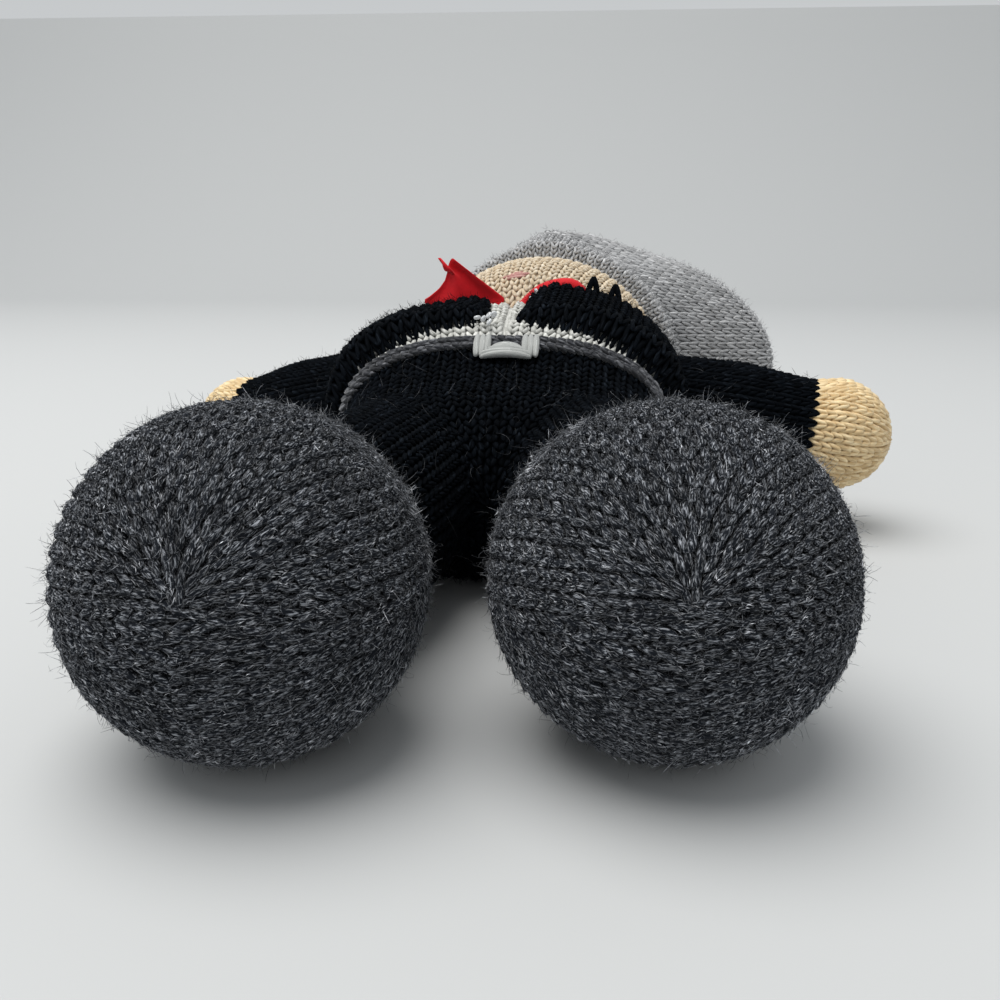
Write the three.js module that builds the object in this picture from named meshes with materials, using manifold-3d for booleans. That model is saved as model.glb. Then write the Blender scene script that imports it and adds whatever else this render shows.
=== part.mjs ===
// A stuffed, hand-knitted doll lying on its back: feet towards -Y, head towards +Y, face up.
// Millimetres, +Z up. The pieces are drawn from the floor under the middle of the waist, and the
// finished doll is then moved so that the origin lies on the flat of the jacket's back.
import * as THREE from 'three';
import { mergeVertices } from 'three/addons/utils/BufferGeometryUtils.js';
import Module from 'manifold-3d';

const wasm = await Module();
wasm.setup();

// Cloth and fits
const KNIT_WALL = 3;
const CLEARANCE = 0.3;
const HIP_SEAM_GAP = 0.6;
const REST_FLAT = 0.5;

// Torso: half widths, heights of the front above the floor, and lengths from the waist
const HIP_HALF_WIDTH = 58;
const HIP_TOP = 70;
const WAIST_HALF_WIDTH = 58;
const WAIST_TOP = 78;
const CHEST_HALF_WIDTH = 62;
const CHEST_TOP = 82;
const SEAT_LENGTH = 66;
const SEAT_ROUND = 34;
const CHEST_LENGTH = 56;
const SHOULDER_ROUND = 20;
const SEAT_SQUARENESS = 2.5;
const CHEST_SQUARENESS = 3;

// Belt and its stitched buckle
const BELT_WIDTH = 6.5;
const BELT_THICKNESS = 2.4;
const BELT_DROP = 7;
const BUCKLE_WIDTH = 23;
const BUCKLE_HEIGHT = 11;
const BUCKLE_UPRIGHT = 5;
const BUCKLE_RAIL = 3.5;
const BUCKLE_THICKNESS = 2.4;

// Jacket
const JACKET_WALL = 5;
const JACKET_HEM = 3;
const JACKET_NECK_RADIUS = 38;
const JACKET_OPENING_HEM = 12;
const JACKET_OPENING_TOP = 10;
const LEFT_LAPEL_RADIUS = 6.5;
const RIGHT_LAPEL_RADIUS = 4;
const LAPEL_REACH = 34;
const LAPEL_RISE = 3.5;
const COLLAR_FROM_CHEST_END = 13;

// Arms: the shoulder seam, then lengths along the arm from it
const SHOULDER_HALF_SPAN = 61;
const SHOULDER_ALONG = 36;
const SHOULDER_HEIGHT = 46;
const ARM_RADIUS = 20;
const SLEEVE_RADIUS = 21.5;
const CUFF_RADIUS = 18.5;
const SLEEVE_LENGTH = 55;
const HAND_RADIUS = 21;
const HAND_LENGTH = 31;
const LEFT_ARM_TURN = -6;
const RIGHT_ARM_TURN = 28;
const LEFT_ARM_DROOP = 7;
const RIGHT_ARM_DROOP = 14;

// Legs: the hip seam, then the reach from it to the middle of the ball-shaped shoe
const HIP_HALF_SPAN = 30.5;
const HIP_ALONG = -46;
const HIP_RADIUS = 28;
const KNEE_RADIUS = 28.5;
const ANKLE_RADIUS = 24;
const LEFT_LEG_REACH = 100;
const RIGHT_LEG_REACH = 107;
const LEG_SPLAY = 9.5;
const SHOE_HALF_WIDTH = 41;
const SHOE_HEIGHT = 79.5;

// Head and neck
const NECK_RADIUS = 16;
const NECK_HOLE_RADIUS = 9;
const NECK_ALONG = 61;
const HEAD_RADIUS = 50.5;
const HEAD_HALF_WIDTH = 55;
const HEAD_GAP = 1.5;
const HEAD_FLOP = 11;
const HEAD_SWING = 25;
const HEAD_SWING_STEPS = 8;
const HEAD_SWING_CLEARANCE = 0.8;
const FACE_TURN = -8;
const MOUTH_LIFT = 64;
const MOUTH_WIDTH = 14;
const MOUTH_YARN = 1.2;
const EYE_LIFT = 106;
const EYE_SPREAD = 19;
const EYE_RADIUS = 3.2;
const EYE_THICKNESS = 1;

// Hat: a band round the head, and a slouchy crown behind it that slumps to the doll's left
const HAT_WALL = 5;
const BRIM_WIDTH = 15;
const BRIM_FROM_HEAD_MIDDLE = 18;
const CROWN_HALF_WIDTH = 62;
const CROWN_HEIGHT = 99;
const CROWN_LENGTH = 55;
const CROWN_FULL_AT = 20;
const CROWN_SLUMP = 43;
const CROWN_SQUARENESS = 1.7;

// Scarf: a rolled band round the neck, and a tied end that stands up with two points
const SCARF_RADIUS = 5.5;
const SCARF_RING = 26;
const SCARF_TAIL_WIDTH = 29;
const SCARF_TAIL_HEIGHT = 102;
const SCARF_TAIL_SHOULDER = 87;
const SCARF_POINT_GAP = 7;
const SCARF_NOTCH = 6;
const SCARF_CLOTH = 1.6;

// Beads threaded on and sewn to the lapels
const BEAD_RADIUS = 1.7;
const BEAD_THREAD = 0.5;
const BEAD_PITCH = 3.8;
const BEAD_LIFT = 10;
const RIGHT_BEADS = 5;
const LEFT_BEADS = 3;
const RIGHT_BEADS_FROM = 0.03;
const LEFT_BEADS_FROM = 0.3;

// The origin, measured from the waist along the jacket's back
const ORIGIN_ALONG = 20;

// Facets, and the reach of the blocks that cut
const ROUND = 16;
const CAP_RINGS = 4;
const LAPEL_SIDES = 10;
const LAPEL_STEPS = 16;
const YARN_SIDES = 6;
const YARN_STEPS = 8;
const BEAD_ROUND = 8;
const MERGE_WITHIN = 1e-4;
const CUT = 1000;

const FINISHES = {
  blackKnit: { color: 0x15171b, roughness: 0.95 },
  charcoalKnit: { color: 0x4b4e55, roughness: 0.95 },
  beltKnit: { color: 0x55555c, roughness: 0.95 },
  heatherKnit: { color: 0x969698, roughness: 0.95 },
  creamKnit: { color: 0xd7c298, roughness: 0.95 },
  whiteKnit: { color: 0xcdcdc8, roughness: 0.95 },
  buckleYarn: { color: 0xb4b6b4, roughness: 0.9 },
  mouthYarn: { color: 0xb0555c, roughness: 0.9 },
  eyeYarn: { color: 0x1c1a1a, roughness: 0.9 },
  redCotton: { color: 0xa5141c, roughness: 0.85 },
  clearBead: { color: 0xd8dcde, roughness: 0.1 },
  fibreFill: { color: 0xeeeae0, roughness: 1 },
};

const vector = (x, y, z) => new THREE.Vector3(x, y, z);
const radians = THREE.MathUtils.degToRad;

// Booleans

function solidOf(geometry) {
  geometry.deleteAttribute('normal');
  geometry.deleteAttribute('uv');
  const merged = mergeVertices(geometry, MERGE_WITHIN);
  const corners = merged.index.array;
  const kept = [];
  for (let i = 0; i < corners.length; i += 3) {
    const [a, b, c] = corners.slice(i, i + 3);
    if (a !== b && b !== c && c !== a) {
      kept.push(a, b, c);
    }
  }
  return new wasm.Manifold(new wasm.Mesh({
    numProp: 3,
    vertProperties: Float32Array.from(merged.attributes.position.array),
    triVerts: Uint32Array.from(kept),
  }));
}

function block(low, high) {
  const size = vector().subVectors(high, low);
  const middle = vector().addVectors(high, low).multiplyScalar(0.5);
  const geometry = new THREE.BoxGeometry(size.x, size.y, size.z);
  return solidOf(geometry.translate(middle.x, middle.y, middle.z));
}

const keepAbove = (solid, z) => solid.intersect(block(vector(-CUT, -CUT, z), vector(CUT, CUT, CUT)));
const keepBelow = (solid, z) => solid.intersect(block(vector(-CUT, -CUT, -CUT), vector(CUT, CUT, z)));
const keepBeyond = (solid, y) => solid.intersect(block(vector(-CUT, y, -CUT), vector(CUT, CUT, CUT)));
const keepBefore = (solid, y) => solid.intersect(block(vector(-CUT, -CUT, -CUT), vector(CUT, y, CUT)));

function ball(centre, radius, round = ROUND) {
  const geometry = new THREE.SphereGeometry(radius, round, round / 2);
  return solidOf(geometry.translate(centre.x, centre.y, centre.z));
}

// A ball whose flats, not its corners, lie a clearance outside the given radius.
function socket(centre, radius) {
  const flatShare = Math.cos(Math.PI / ROUND) ** 2;
  return ball(centre, (radius + CLEARANCE) / flatShare);
}

function rod(from, to, radius) {
  const along = vector().subVectors(to, from);
  const geometry = new THREE.CylinderGeometry(radius, radius, along.length(), ROUND);
  const turn = new THREE.Quaternion().setFromUnitVectors(vector(0, 1, 0), along.normalize());
  const middle = vector().addVectors(from, to).multiplyScalar(0.5);
  return solidOf(geometry.applyQuaternion(turn).translate(middle.x, middle.y, middle.z));
}

function tube(extrudePath, radius, sides, steps) {
  const circle = new THREE.Shape();
  circle.absarc(0, 0, radius, 0, 2 * Math.PI);
  return solidOf(new THREE.ExtrudeGeometry(circle, { extrudePath, curveSegments: sides, steps }));
}

function largest(solid) {
  return solid.decompose().reduce((most, part) => (part.volume() > most.volume() ? part : most));
}

// A soft form swells and tapers through its sections, which lie square to Y. A squareness of 2 is
// an ellipse, and more is boxier. The first and last sections are the poles that close the form.
function softGeometry(sections, grow = 0) {
  const last = sections.length - 1;
  const unit = sections.map((_, i) => new THREE.Vector2(i % last === 0 ? 0 : 1, i));
  const geometry = new THREE.LatheGeometry(unit, ROUND);
  const middle = (sections[0].y + sections[last].y) / 2;
  const half = (sections[last].y - sections[0].y) / 2;
  const bulge = (value, squareness) => Math.sign(value) * Math.abs(value) ** (2 / squareness);
  const position = geometry.attributes.position;
  for (let i = 0; i < position.count; i++) {
    const { y, halfWidth, bottom, top, x = 0, squareness = 2 } = sections[Math.round(position.getY(i))];
    const across = bulge(position.getX(i), squareness);
    const rise = bulge(position.getZ(i), squareness);
    const grownX = x + across * (halfWidth + grow);
    const grownY = y + (grow * (y - middle)) / half;
    const grownZ = (top + bottom) / 2 + rise * ((top - bottom) / 2 + grow);
    position.setXYZ(i, grownX, grownY, grownZ);
  }
  return geometry;
}

const softForm = (sections, grow) => solidOf(softGeometry(sections, grow));

// Sections of a rounded end, from its pole to just before the full section that it grows into.
function roundedEnd(poleY, full) {
  const sections = [];
  const middle = (full.top + full.bottom) / 2;
  for (let i = 0; i < CAP_RINGS; i++) {
    const angle = (i / CAP_RINGS) * (Math.PI / 2);
    const halfDepth = ((full.top - full.bottom) / 2) * Math.sin(angle);
    sections.push({
      ...full,
      y: full.y + (poleY - full.y) * Math.cos(angle),
      halfWidth: full.halfWidth * Math.sin(angle),
      bottom: middle - halfDepth,
      top: middle + halfDepth,
    });
  }
  return sections;
}

const roundSection = (y, radius, z = 0) => ({ y, halfWidth: radius, bottom: z - radius, top: z + radius });

function piece(name, solid, finish) {
  const { vertProperties, triVerts } = solid.getMesh();
  const geometry = new THREE.BufferGeometry();
  geometry.setAttribute('position', new THREE.BufferAttribute(Float32Array.from(vertProperties), 3));
  geometry.setIndex(new THREE.BufferAttribute(Uint32Array.from(triVerts), 1));
  geometry.computeVertexNormals();
  const mesh = new THREE.Mesh(geometry, new THREE.MeshStandardMaterial({ metalness: 0, ...finish }));
  mesh.name = name;
  return mesh;
}

// Places that several pieces share

const lining = KNIT_WALL + CLEARANCE;
const beltReach = BELT_THICKNESS + CLEARANCE;
const jacketReach = JACKET_WALL + CLEARANCE;
const shirtBack = jacketReach - REST_FLAT;
const seatMiddle = (HIP_TOP - REST_FLAT) / 2;
const chestMiddle = (CHEST_TOP + shirtBack) / 2;
const shoulderLine = CHEST_LENGTH - SHOULDER_ROUND;
const beltTopEdge = -BELT_DROP + BELT_WIDTH / 2;
const beltLowEdge = -BELT_DROP - BELT_WIDTH / 2;
const hipAt = (side) => vector(side * HIP_HALF_SPAN, HIP_ALONG, seatMiddle);
const shoulderAt = (side) => vector(side * SHOULDER_HALF_SPAN, SHOULDER_ALONG, SHOULDER_HEIGHT);
const neckAt = vector(0, NECK_ALONG, chestMiddle);
const headReach = HEAD_RADIUS + HEAD_GAP;
const headRise = HEAD_RADIUS - REST_FLAT - neckAt.z;

// Torso

function torsoForm(grow, seenFrom = vector(0, 0, 0)) {
  const hip = {
    y: SEAT_ROUND - SEAT_LENGTH,
    halfWidth: HIP_HALF_WIDTH,
    bottom: -REST_FLAT,
    top: HIP_TOP,
    squareness: SEAT_SQUARENESS,
  };
  const waist = { ...hip, y: 0, halfWidth: WAIST_HALF_WIDTH, bottom: beltReach, top: WAIST_TOP };
  const chest = {
    y: JACKET_HEM,
    halfWidth: CHEST_HALF_WIDTH,
    bottom: shirtBack,
    top: CHEST_TOP,
    squareness: CHEST_SQUARENESS,
  };
  const shoulder = { ...chest, y: shoulderLine };
  const sections = [
    ...roundedEnd(-SEAT_LENGTH, hip),
    hip,
    { ...hip, y: beltLowEdge - BELT_WIDTH / 2 },
    { ...waist, y: beltLowEdge, top: HIP_TOP + CLEARANCE },
    waist,
    chest,
    shoulder,
    ...roundedEnd(CHEST_LENGTH, shoulder).reverse(),
  ];
  return solidOf(softGeometry(sections, grow).translate(-seenFrom.x, -seenFrom.y, -seenFrom.z));
}

const torsoClear = torsoForm(CLEARANCE);
const neckSocket = socket(neckAt, NECK_RADIUS);

function buildBody() {
  const hollow = keepAbove(torsoForm(-KNIT_WALL), KNIT_WALL);
  const cover = keepAbove(torsoForm(0), 0).subtract(hollow).subtract(neckSocket);
  const seam = -BELT_DROP;
  const fill = keepAbove(torsoForm(-lining), lining).subtract(neckSocket);
  return [
    piece('trouser_seat', largest(keepBefore(cover, seam - CLEARANCE / 2)), FINISHES.blackKnit),
    piece('shirt_body', largest(keepBeyond(cover, seam + CLEARANCE / 2)), FINISHES.whiteKnit),
    piece('body_stuffing', largest(fill), FINISHES.fibreFill),
  ];
}

function buildBelt() {
  const ring = torsoForm(beltReach).subtract(torsoClear);
  const belt = keepBeyond(keepBefore(keepAbove(ring, 0), beltTopEdge), beltLowEdge);
  const buckleSeat = beltReach + CLEARANCE;
  const wrap = torsoForm(buckleSeat + BUCKLE_THICKNESS).subtract(torsoForm(buckleSeat));
  const frame = (inX, inY) => block(
    vector(inX - BUCKLE_WIDTH / 2, inY - BUCKLE_HEIGHT / 2 - BELT_DROP, chestMiddle),
    vector(BUCKLE_WIDTH / 2 - inX, BUCKLE_HEIGHT / 2 - inY - BELT_DROP, CUT),
  );
  const outer = frame(0, 0);
  const window = frame(BUCKLE_UPRIGHT, BUCKLE_RAIL);
  return [
    piece('waist_belt', largest(belt), FINISHES.beltKnit),
    piece('belt_buckle', largest(wrap.intersect(outer).subtract(window)), FINISHES.buckleYarn),
  ];
}

// Jacket

function frontHeight(x, y) {
  const shrink = y > shoulderLine ? Math.sqrt(1 - ((y - shoulderLine) / SHOULDER_ROUND) ** 2) : 1;
  const across = Math.min(Math.abs(x) / (CHEST_HALF_WIDTH * shrink), 1);
  const rise = (1 - across ** CHEST_SQUARENESS) ** (1 / CHEST_SQUARENESS);
  return chestMiddle + ((CHEST_TOP - shirtBack) / 2) * shrink * rise;
}

const collarAlong = CHEST_LENGTH - COLLAR_FROM_CHEST_END;
const scarfTailAlong = collarAlong + RIGHT_LAPEL_RADIUS + CLEARANCE;

function lapelPath(side, radius) {
  const edgeHem = side * (JACKET_OPENING_HEM / 2 + radius);
  const edgeTop = side * (JACKET_OPENING_TOP / 2 + radius);
  const over = (x, y, lift) => vector(x, y, frontHeight(x, y) + radius + lift);
  return new THREE.CatmullRomCurve3([
    over(edgeHem, JACKET_HEM + radius, 0),
    over((edgeHem + edgeTop) / 2, (JACKET_HEM + collarAlong) / 2, LAPEL_RISE / 2),
    over(edgeTop + side * radius, collarAlong, LAPEL_RISE),
    over(side * LAPEL_REACH, collarAlong, LAPEL_RISE),
    over(side * (LAPEL_REACH + 2 * radius), shoulderLine, 0),
  ]);
}

const lapel = (radius, path) => tube(path, radius, LAPEL_SIDES, LAPEL_STEPS);

function buildJacket() {
  const neckline = rod(vector(0, shoulderLine, chestMiddle), vector(0, CUT, chestMiddle), JACKET_NECK_RADIUS);
  const shell = torsoForm(jacketReach).subtract(torsoClear).subtract(neckline);
  const coat = keepBeyond(keepAbove(shell, 0), JACKET_HEM);
  const opening = new THREE.Shape([
    new THREE.Vector2(-JACKET_OPENING_HEM / 2, 0),
    new THREE.Vector2(JACKET_OPENING_HEM / 2, 0),
    new THREE.Vector2(JACKET_OPENING_TOP / 2, CHEST_LENGTH + jacketReach),
    new THREE.Vector2(-JACKET_OPENING_TOP / 2, CHEST_LENGTH + jacketReach),
  ]);
  const gap = solidOf(new THREE.ExtrudeGeometry(opening, { depth: CUT, bevelEnabled: false }));
  const front = keepAbove(coat, chestMiddle + CLEARANCE).subtract(gap);
  const halves = front.decompose().sort((a, b) => b.volume() - a.volume()).slice(0, 2);
  const [right, left] = halves.sort((a, b) => a.boundingBox().min[0] - b.boundingBox().min[0]);
  const tailGap = scarfTail(CLEARANCE);
  const dress = (half, side, radius) => (
    largest(half.add(lapel(radius, lapelPath(side, radius))).subtract(torsoClear).subtract(tailGap))
  );
  return [
    piece('jacket_back', largest(keepBelow(coat, chestMiddle)), FINISHES.blackKnit),
    piece('jacket_left_front', dress(left, 1, LEFT_LAPEL_RADIUS), FINISHES.blackKnit),
    piece('jacket_right_front', dress(right, -1, RIGHT_LAPEL_RADIUS), FINISHES.blackKnit),
  ];
}

// Limbs: each has a group at the middle of its seam, and is cut where it is sewn to the body

function buildArm(name, side, turn, droop) {
  const aimed = (geometry) => solidOf(geometry
    .rotateX(radians(-droop))
    .rotateZ(radians(-side * (90 - turn))));
  const shoulder = roundSection(0, ARM_RADIUS);
  const elbow = roundSection(SLEEVE_LENGTH / 2, SLEEVE_RADIUS);
  const wrist = roundSection(SLEEVE_LENGTH, CUFF_RADIUS);
  const palm = roundSection(SLEEVE_LENGTH + HAND_LENGTH - HAND_RADIUS, HAND_RADIUS);
  const sections = [
    ...roundedEnd(-ARM_RADIUS, shoulder),
    shoulder,
    elbow,
    wrist,
    palm,
    ...roundedEnd(SLEEVE_LENGTH + HAND_LENGTH, palm).reverse(),
  ];
  const armForm = (grow) => aimed(softGeometry(sections, grow));
  const beyondCuff = aimed(new THREE.BoxGeometry(CUT, CUT, CUT).translate(0, CUT / 2 + SLEEVE_LENGTH, 0));
  const cuffGap = aimed(new THREE.BoxGeometry(CUT, CLEARANCE, CUT).translate(0, SLEEVE_LENGTH, 0));
  const jacket = torsoForm(jacketReach + CLEARANCE, shoulderAt(side));
  const cover = armForm(0).subtract(armForm(-KNIT_WALL)).subtract(jacket).subtract(cuffGap);
  const group = new THREE.Group();
  group.position.copy(shoulderAt(side));
  group.add(
    piece(`${name}_sleeve`, largest(cover.subtract(beyondCuff)), FINISHES.blackKnit),
    piece(`${name}_hand`, largest(cover.intersect(beyondCuff)), FINISHES.creamKnit),
    piece(`${name}_arm_stuffing`, largest(armForm(-lining).subtract(jacket)), FINISHES.fibreFill),
  );
  return group;
}

function buildLeg(name, side, reach) {
  const aimed = (geometry) => solidOf(geometry.rotateZ(radians(180 + side * LEG_SPLAY)));
  const floor = -seatMiddle;
  const hip = roundSection(0, HIP_RADIUS);
  const knee = roundSection((reach - SHOE_HALF_WIDTH) / 2, KNEE_RADIUS);
  const ankle = roundSection(reach - SHOE_HALF_WIDTH / 2, ANKLE_RADIUS);
  const legSections = [
    ...roundedEnd(-HIP_RADIUS, hip),
    hip,
    knee,
    ankle,
    ...roundedEnd(reach, ankle).reverse(),
  ];
  const shoeMiddle = {
    y: reach,
    halfWidth: SHOE_HALF_WIDTH,
    bottom: floor - REST_FLAT,
    top: floor + SHOE_HEIGHT,
  };
  const shoeSections = [
    ...roundedEnd(reach - SHOE_HALF_WIDTH, shoeMiddle),
    shoeMiddle,
    ...roundedEnd(reach + SHOE_HALF_WIDTH, shoeMiddle).reverse(),
  ];
  const legForm = (grow) => aimed(softGeometry(legSections, grow));
  const shoeForm = (grow) => aimed(softGeometry(shoeSections, grow));
  const shoeHollow = (wall) => keepAbove(shoeForm(-wall), floor + wall);
  const seat = torsoForm(HIP_SEAM_GAP, hipAt(side));
  const leg = legForm(0).subtract(legForm(-KNIT_WALL)).subtract(shoeForm(CLEARANCE)).subtract(seat);
  const shoe = keepAbove(shoeForm(0), floor).subtract(shoeHollow(KNIT_WALL)).subtract(legForm(-KNIT_WALL));
  const fill = legForm(-lining).subtract(seat).add(shoeHollow(lining));
  const group = new THREE.Group();
  group.position.copy(hipAt(side));
  group.add(
    piece(`${name}_trouser_leg`, largest(leg), FINISHES.blackKnit),
    piece(`${name}_shoe`, largest(shoe), FINISHES.charcoalKnit),
    piece(`${name}_leg_stuffing`, largest(fill), FINISHES.fibreFill),
  );
  return group;
}

// Head: built upright along its own +Y from the neck, then laid over to the doll's left

const headMiddle = vector(0, headReach, headRise);
const headFloor = -neckAt.z;

const headSection = (y, grow = 0) => ({
  y,
  halfWidth: HEAD_HALF_WIDTH + grow,
  bottom: headRise - HEAD_RADIUS - grow,
  top: headRise + HEAD_RADIUS + grow,
});

function headGeometry(grow) {
  const middle = headSection(headReach);
  return softGeometry([
    ...roundedEnd(headReach - HEAD_RADIUS, middle),
    middle,
    ...roundedEnd(headReach + HEAD_RADIUS, middle).reverse(),
  ], grow);
}

const headForm = (grow) => solidOf(headGeometry(grow));

function onFace(spread, lift, proud) {
  const across = radians(FACE_TURN + spread);
  const up = radians(lift - 90);
  return vector(Math.sin(across) * Math.cos(up), Math.sin(up), Math.cos(across) * Math.cos(up))
    .multiply(vector(HEAD_HALF_WIDTH, HEAD_RADIUS, HEAD_RADIUS).addScalar(proud))
    .add(headMiddle);
}

function buildFace() {
  const half = THREE.MathUtils.radToDeg(MOUTH_WIDTH / 2 / HEAD_RADIUS);
  const mouthProud = MOUTH_YARN + CLEARANCE;
  const lips = [-half, 0, half].map((spread) => onFace(spread, MOUTH_LIFT, mouthProud));
  const mouth = tube(new THREE.CatmullRomCurve3(lips), MOUTH_YARN, YARN_SIDES, YARN_STEPS);
  const eye = (spread) => rod(
    onFace(spread, EYE_LIFT, -KNIT_WALL),
    onFace(spread, EYE_LIFT, CLEARANCE + EYE_THICKNESS),
    EYE_RADIUS,
  );
  const skin = headForm(CLEARANCE);
  return [
    piece('mouth_stitch', largest(mouth.subtract(skin)), FINISHES.mouthYarn),
    piece('left_eye', largest(eye(EYE_SPREAD).subtract(skin)), FINISHES.eyeYarn),
    piece('right_eye', largest(eye(-EYE_SPREAD).subtract(skin)), FINISHES.eyeYarn),
  ];
}

function hatForm(grow) {
  const start = headReach + BRIM_FROM_HEAD_MIDDLE + BRIM_WIDTH;
  const full = {
    x: CROWN_SLUMP,
    y: start + CROWN_FULL_AT,
    halfWidth: CROWN_HALF_WIDTH,
    bottom: headFloor - REST_FLAT,
    top: headFloor + CROWN_HEIGHT,
    squareness: CROWN_SQUARENESS,
  };
  const rim = headSection(start, HAT_WALL);
  return softForm([
    { ...rim, y: start - CLEARANCE },
    rim,
    full,
    ...roundedEnd(start + CROWN_LENGTH, full).reverse(),
  ], grow);
}

function buildHat() {
  const start = headReach + BRIM_FROM_HEAD_MIDDLE;
  const band = softForm([
    headSection(start - CLEARANCE, HAT_WALL),
    headSection(start, HAT_WALL),
    headSection(start + BRIM_WIDTH, HAT_WALL),
    headSection(start + BRIM_WIDTH + CLEARANCE, HAT_WALL),
  ]);
  const head = headForm(CLEARANCE);
  const brim = keepBefore(keepAbove(band.subtract(head), headFloor), start + BRIM_WIDTH - CLEARANCE);
  const hollow = keepAbove(hatForm(-HAT_WALL), headFloor + HAT_WALL).add(head);
  const crown = keepBeyond(keepAbove(hatForm(0), headFloor).subtract(hollow), start + BRIM_WIDTH);
  return [
    piece('hat_brim', largest(brim), FINISHES.heatherKnit),
    piece('hat_crown', largest(crown), FINISHES.heatherKnit),
  ];
}

function buildHead() {
  const neck = ball(vector(0, 0, 0), NECK_RADIUS);
  const throat = (radius) => rod(vector(0, -NECK_RADIUS, 0), headMiddle, radius);
  const hollow = (wall) => keepAbove(headForm(-wall), headFloor + wall);
  const skin = keepAbove(headForm(0), headFloor).add(neck);
  const cover = skin.subtract(hollow(KNIT_WALL)).subtract(throat(NECK_HOLE_RADIUS));
  const plug = throat(NECK_HOLE_RADIUS - CLEARANCE).intersect(neck.add(headForm(0)));
  const group = new THREE.Group();
  group.position.copy(neckAt);
  group.rotation.z = radians(-HEAD_FLOP);
  group.add(
    piece('head_cover', largest(cover), FINISHES.creamKnit),
    piece('head_stuffing', hollow(lining).add(plug), FINISHES.fibreFill),
    ...buildFace(),
    ...buildHat(),
  );
  return group;
}

// Scarf and beads

function headSweep() {
  const heads = [];
  for (let i = 0; i <= HEAD_SWING_STEPS; i++) {
    const angle = radians(HEAD_SWING * (1 - (2 * i) / HEAD_SWING_STEPS));
    const head = headGeometry(HEAD_SWING_CLEARANCE).rotateZ(-angle);
    heads.push(solidOf(head.translate(neckAt.x, neckAt.y, neckAt.z)));
  }
  return heads.reduce((all, head) => all.add(head)).add(neckSocket);
}

function scarfTail(grow) {
  const right = -JACKET_OPENING_TOP / 2;
  const left = right - SCARF_TAIL_WIDTH;
  const point = left + SCARF_POINT_GAP / 2;
  const outline = new THREE.Shape([
    new THREE.Vector2(left, chestMiddle),
    new THREE.Vector2(right, chestMiddle),
    new THREE.Vector2(right, SCARF_TAIL_SHOULDER),
    new THREE.Vector2(point + SCARF_POINT_GAP, SCARF_TAIL_HEIGHT),
    new THREE.Vector2(point + SCARF_POINT_GAP / 2, SCARF_TAIL_HEIGHT - SCARF_NOTCH),
    new THREE.Vector2(point, SCARF_TAIL_HEIGHT),
    new THREE.Vector2(left, SCARF_TAIL_SHOULDER),
  ]);
  const depth = SCARF_CLOTH + 2 * grow;
  const sheet = new THREE.ExtrudeGeometry(outline, { depth, bevelEnabled: false });
  return solidOf(sheet.rotateX(Math.PI / 2).translate(0, scarfTailAlong + SCARF_CLOTH + grow, 0));
}

function buildScarf() {
  const ring = new THREE.TorusGeometry(SCARF_RING, SCARF_RADIUS, ROUND / 2, ROUND).rotateX(Math.PI / 2);
  const swept = headSweep().add(torsoClear);
  const band = solidOf(ring.translate(0, CHEST_LENGTH, chestMiddle)).subtract(scarfTail(CLEARANCE));
  return [
    piece('scarf_band', largest(band.subtract(swept)), FINISHES.redCotton),
    piece('scarf_tail', largest(scarfTail(0).subtract(swept)), FINISHES.redCotton),
  ];
}

function beadString(name, side, radius, count, from) {
  const path = lapelPath(side, radius);
  const step = BEAD_PITCH / path.getLength();
  const places = [];
  for (let i = 0; i < count; i++) {
    const along = from + i * step;
    const inward = vector(-side * Math.cos(radians(BEAD_LIFT)), 0, Math.sin(radians(BEAD_LIFT)));
    const seat = inward.projectOnPlane(path.getTangentAt(along));
    places.push(path.getPointAt(along).add(seat.setLength(radius + CLEARANCE + BEAD_RADIUS)));
  }
  const thread = tube(new THREE.CatmullRomCurve3(places), BEAD_THREAD, YARN_SIDES, YARN_STEPS);
  const beads = places.map((place) => ball(place, BEAD_RADIUS, BEAD_ROUND));
  const string = beads.reduce((all, bead) => all.add(bead), thread);
  return piece(name, largest(string.subtract(lapel(radius + CLEARANCE, path))), FINISHES.clearBead);
}

const doll = new THREE.Group();
doll.add(
  ...buildBody(),
  ...buildBelt(),
  ...buildJacket(),
  ...buildScarf(),
  beadString('right_lapel_beads', -1, RIGHT_LAPEL_RADIUS, RIGHT_BEADS, RIGHT_BEADS_FROM),
  beadString('left_lapel_beads', 1, LEFT_LAPEL_RADIUS, LEFT_BEADS, LEFT_BEADS_FROM),
  buildArm('left', 1, LEFT_ARM_TURN, LEFT_ARM_DROOP),
  buildArm('right', -1, RIGHT_ARM_TURN, RIGHT_ARM_DROOP),
  buildLeg('left', 1, LEFT_LEG_REACH),
  buildLeg('right', -1, RIGHT_LEG_REACH),
  buildHead(),
);
doll.position.y = -ORIGIN_ALONG;

export default doll;
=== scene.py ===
"""The looks of a stuffed, hand-knitted doll that lies on its back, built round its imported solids.

Every knitted piece is a stuffed form covered in real stitches: each stitch is two slanted lobes of
yarn, laid in courses round the form and in wales along it. Metres, +Z up, the doll's feet towards -Y.
"""
from __future__ import annotations

import logging
import math
from collections.abc import Callable
from dataclasses import dataclass, field
from enum import Enum

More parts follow.
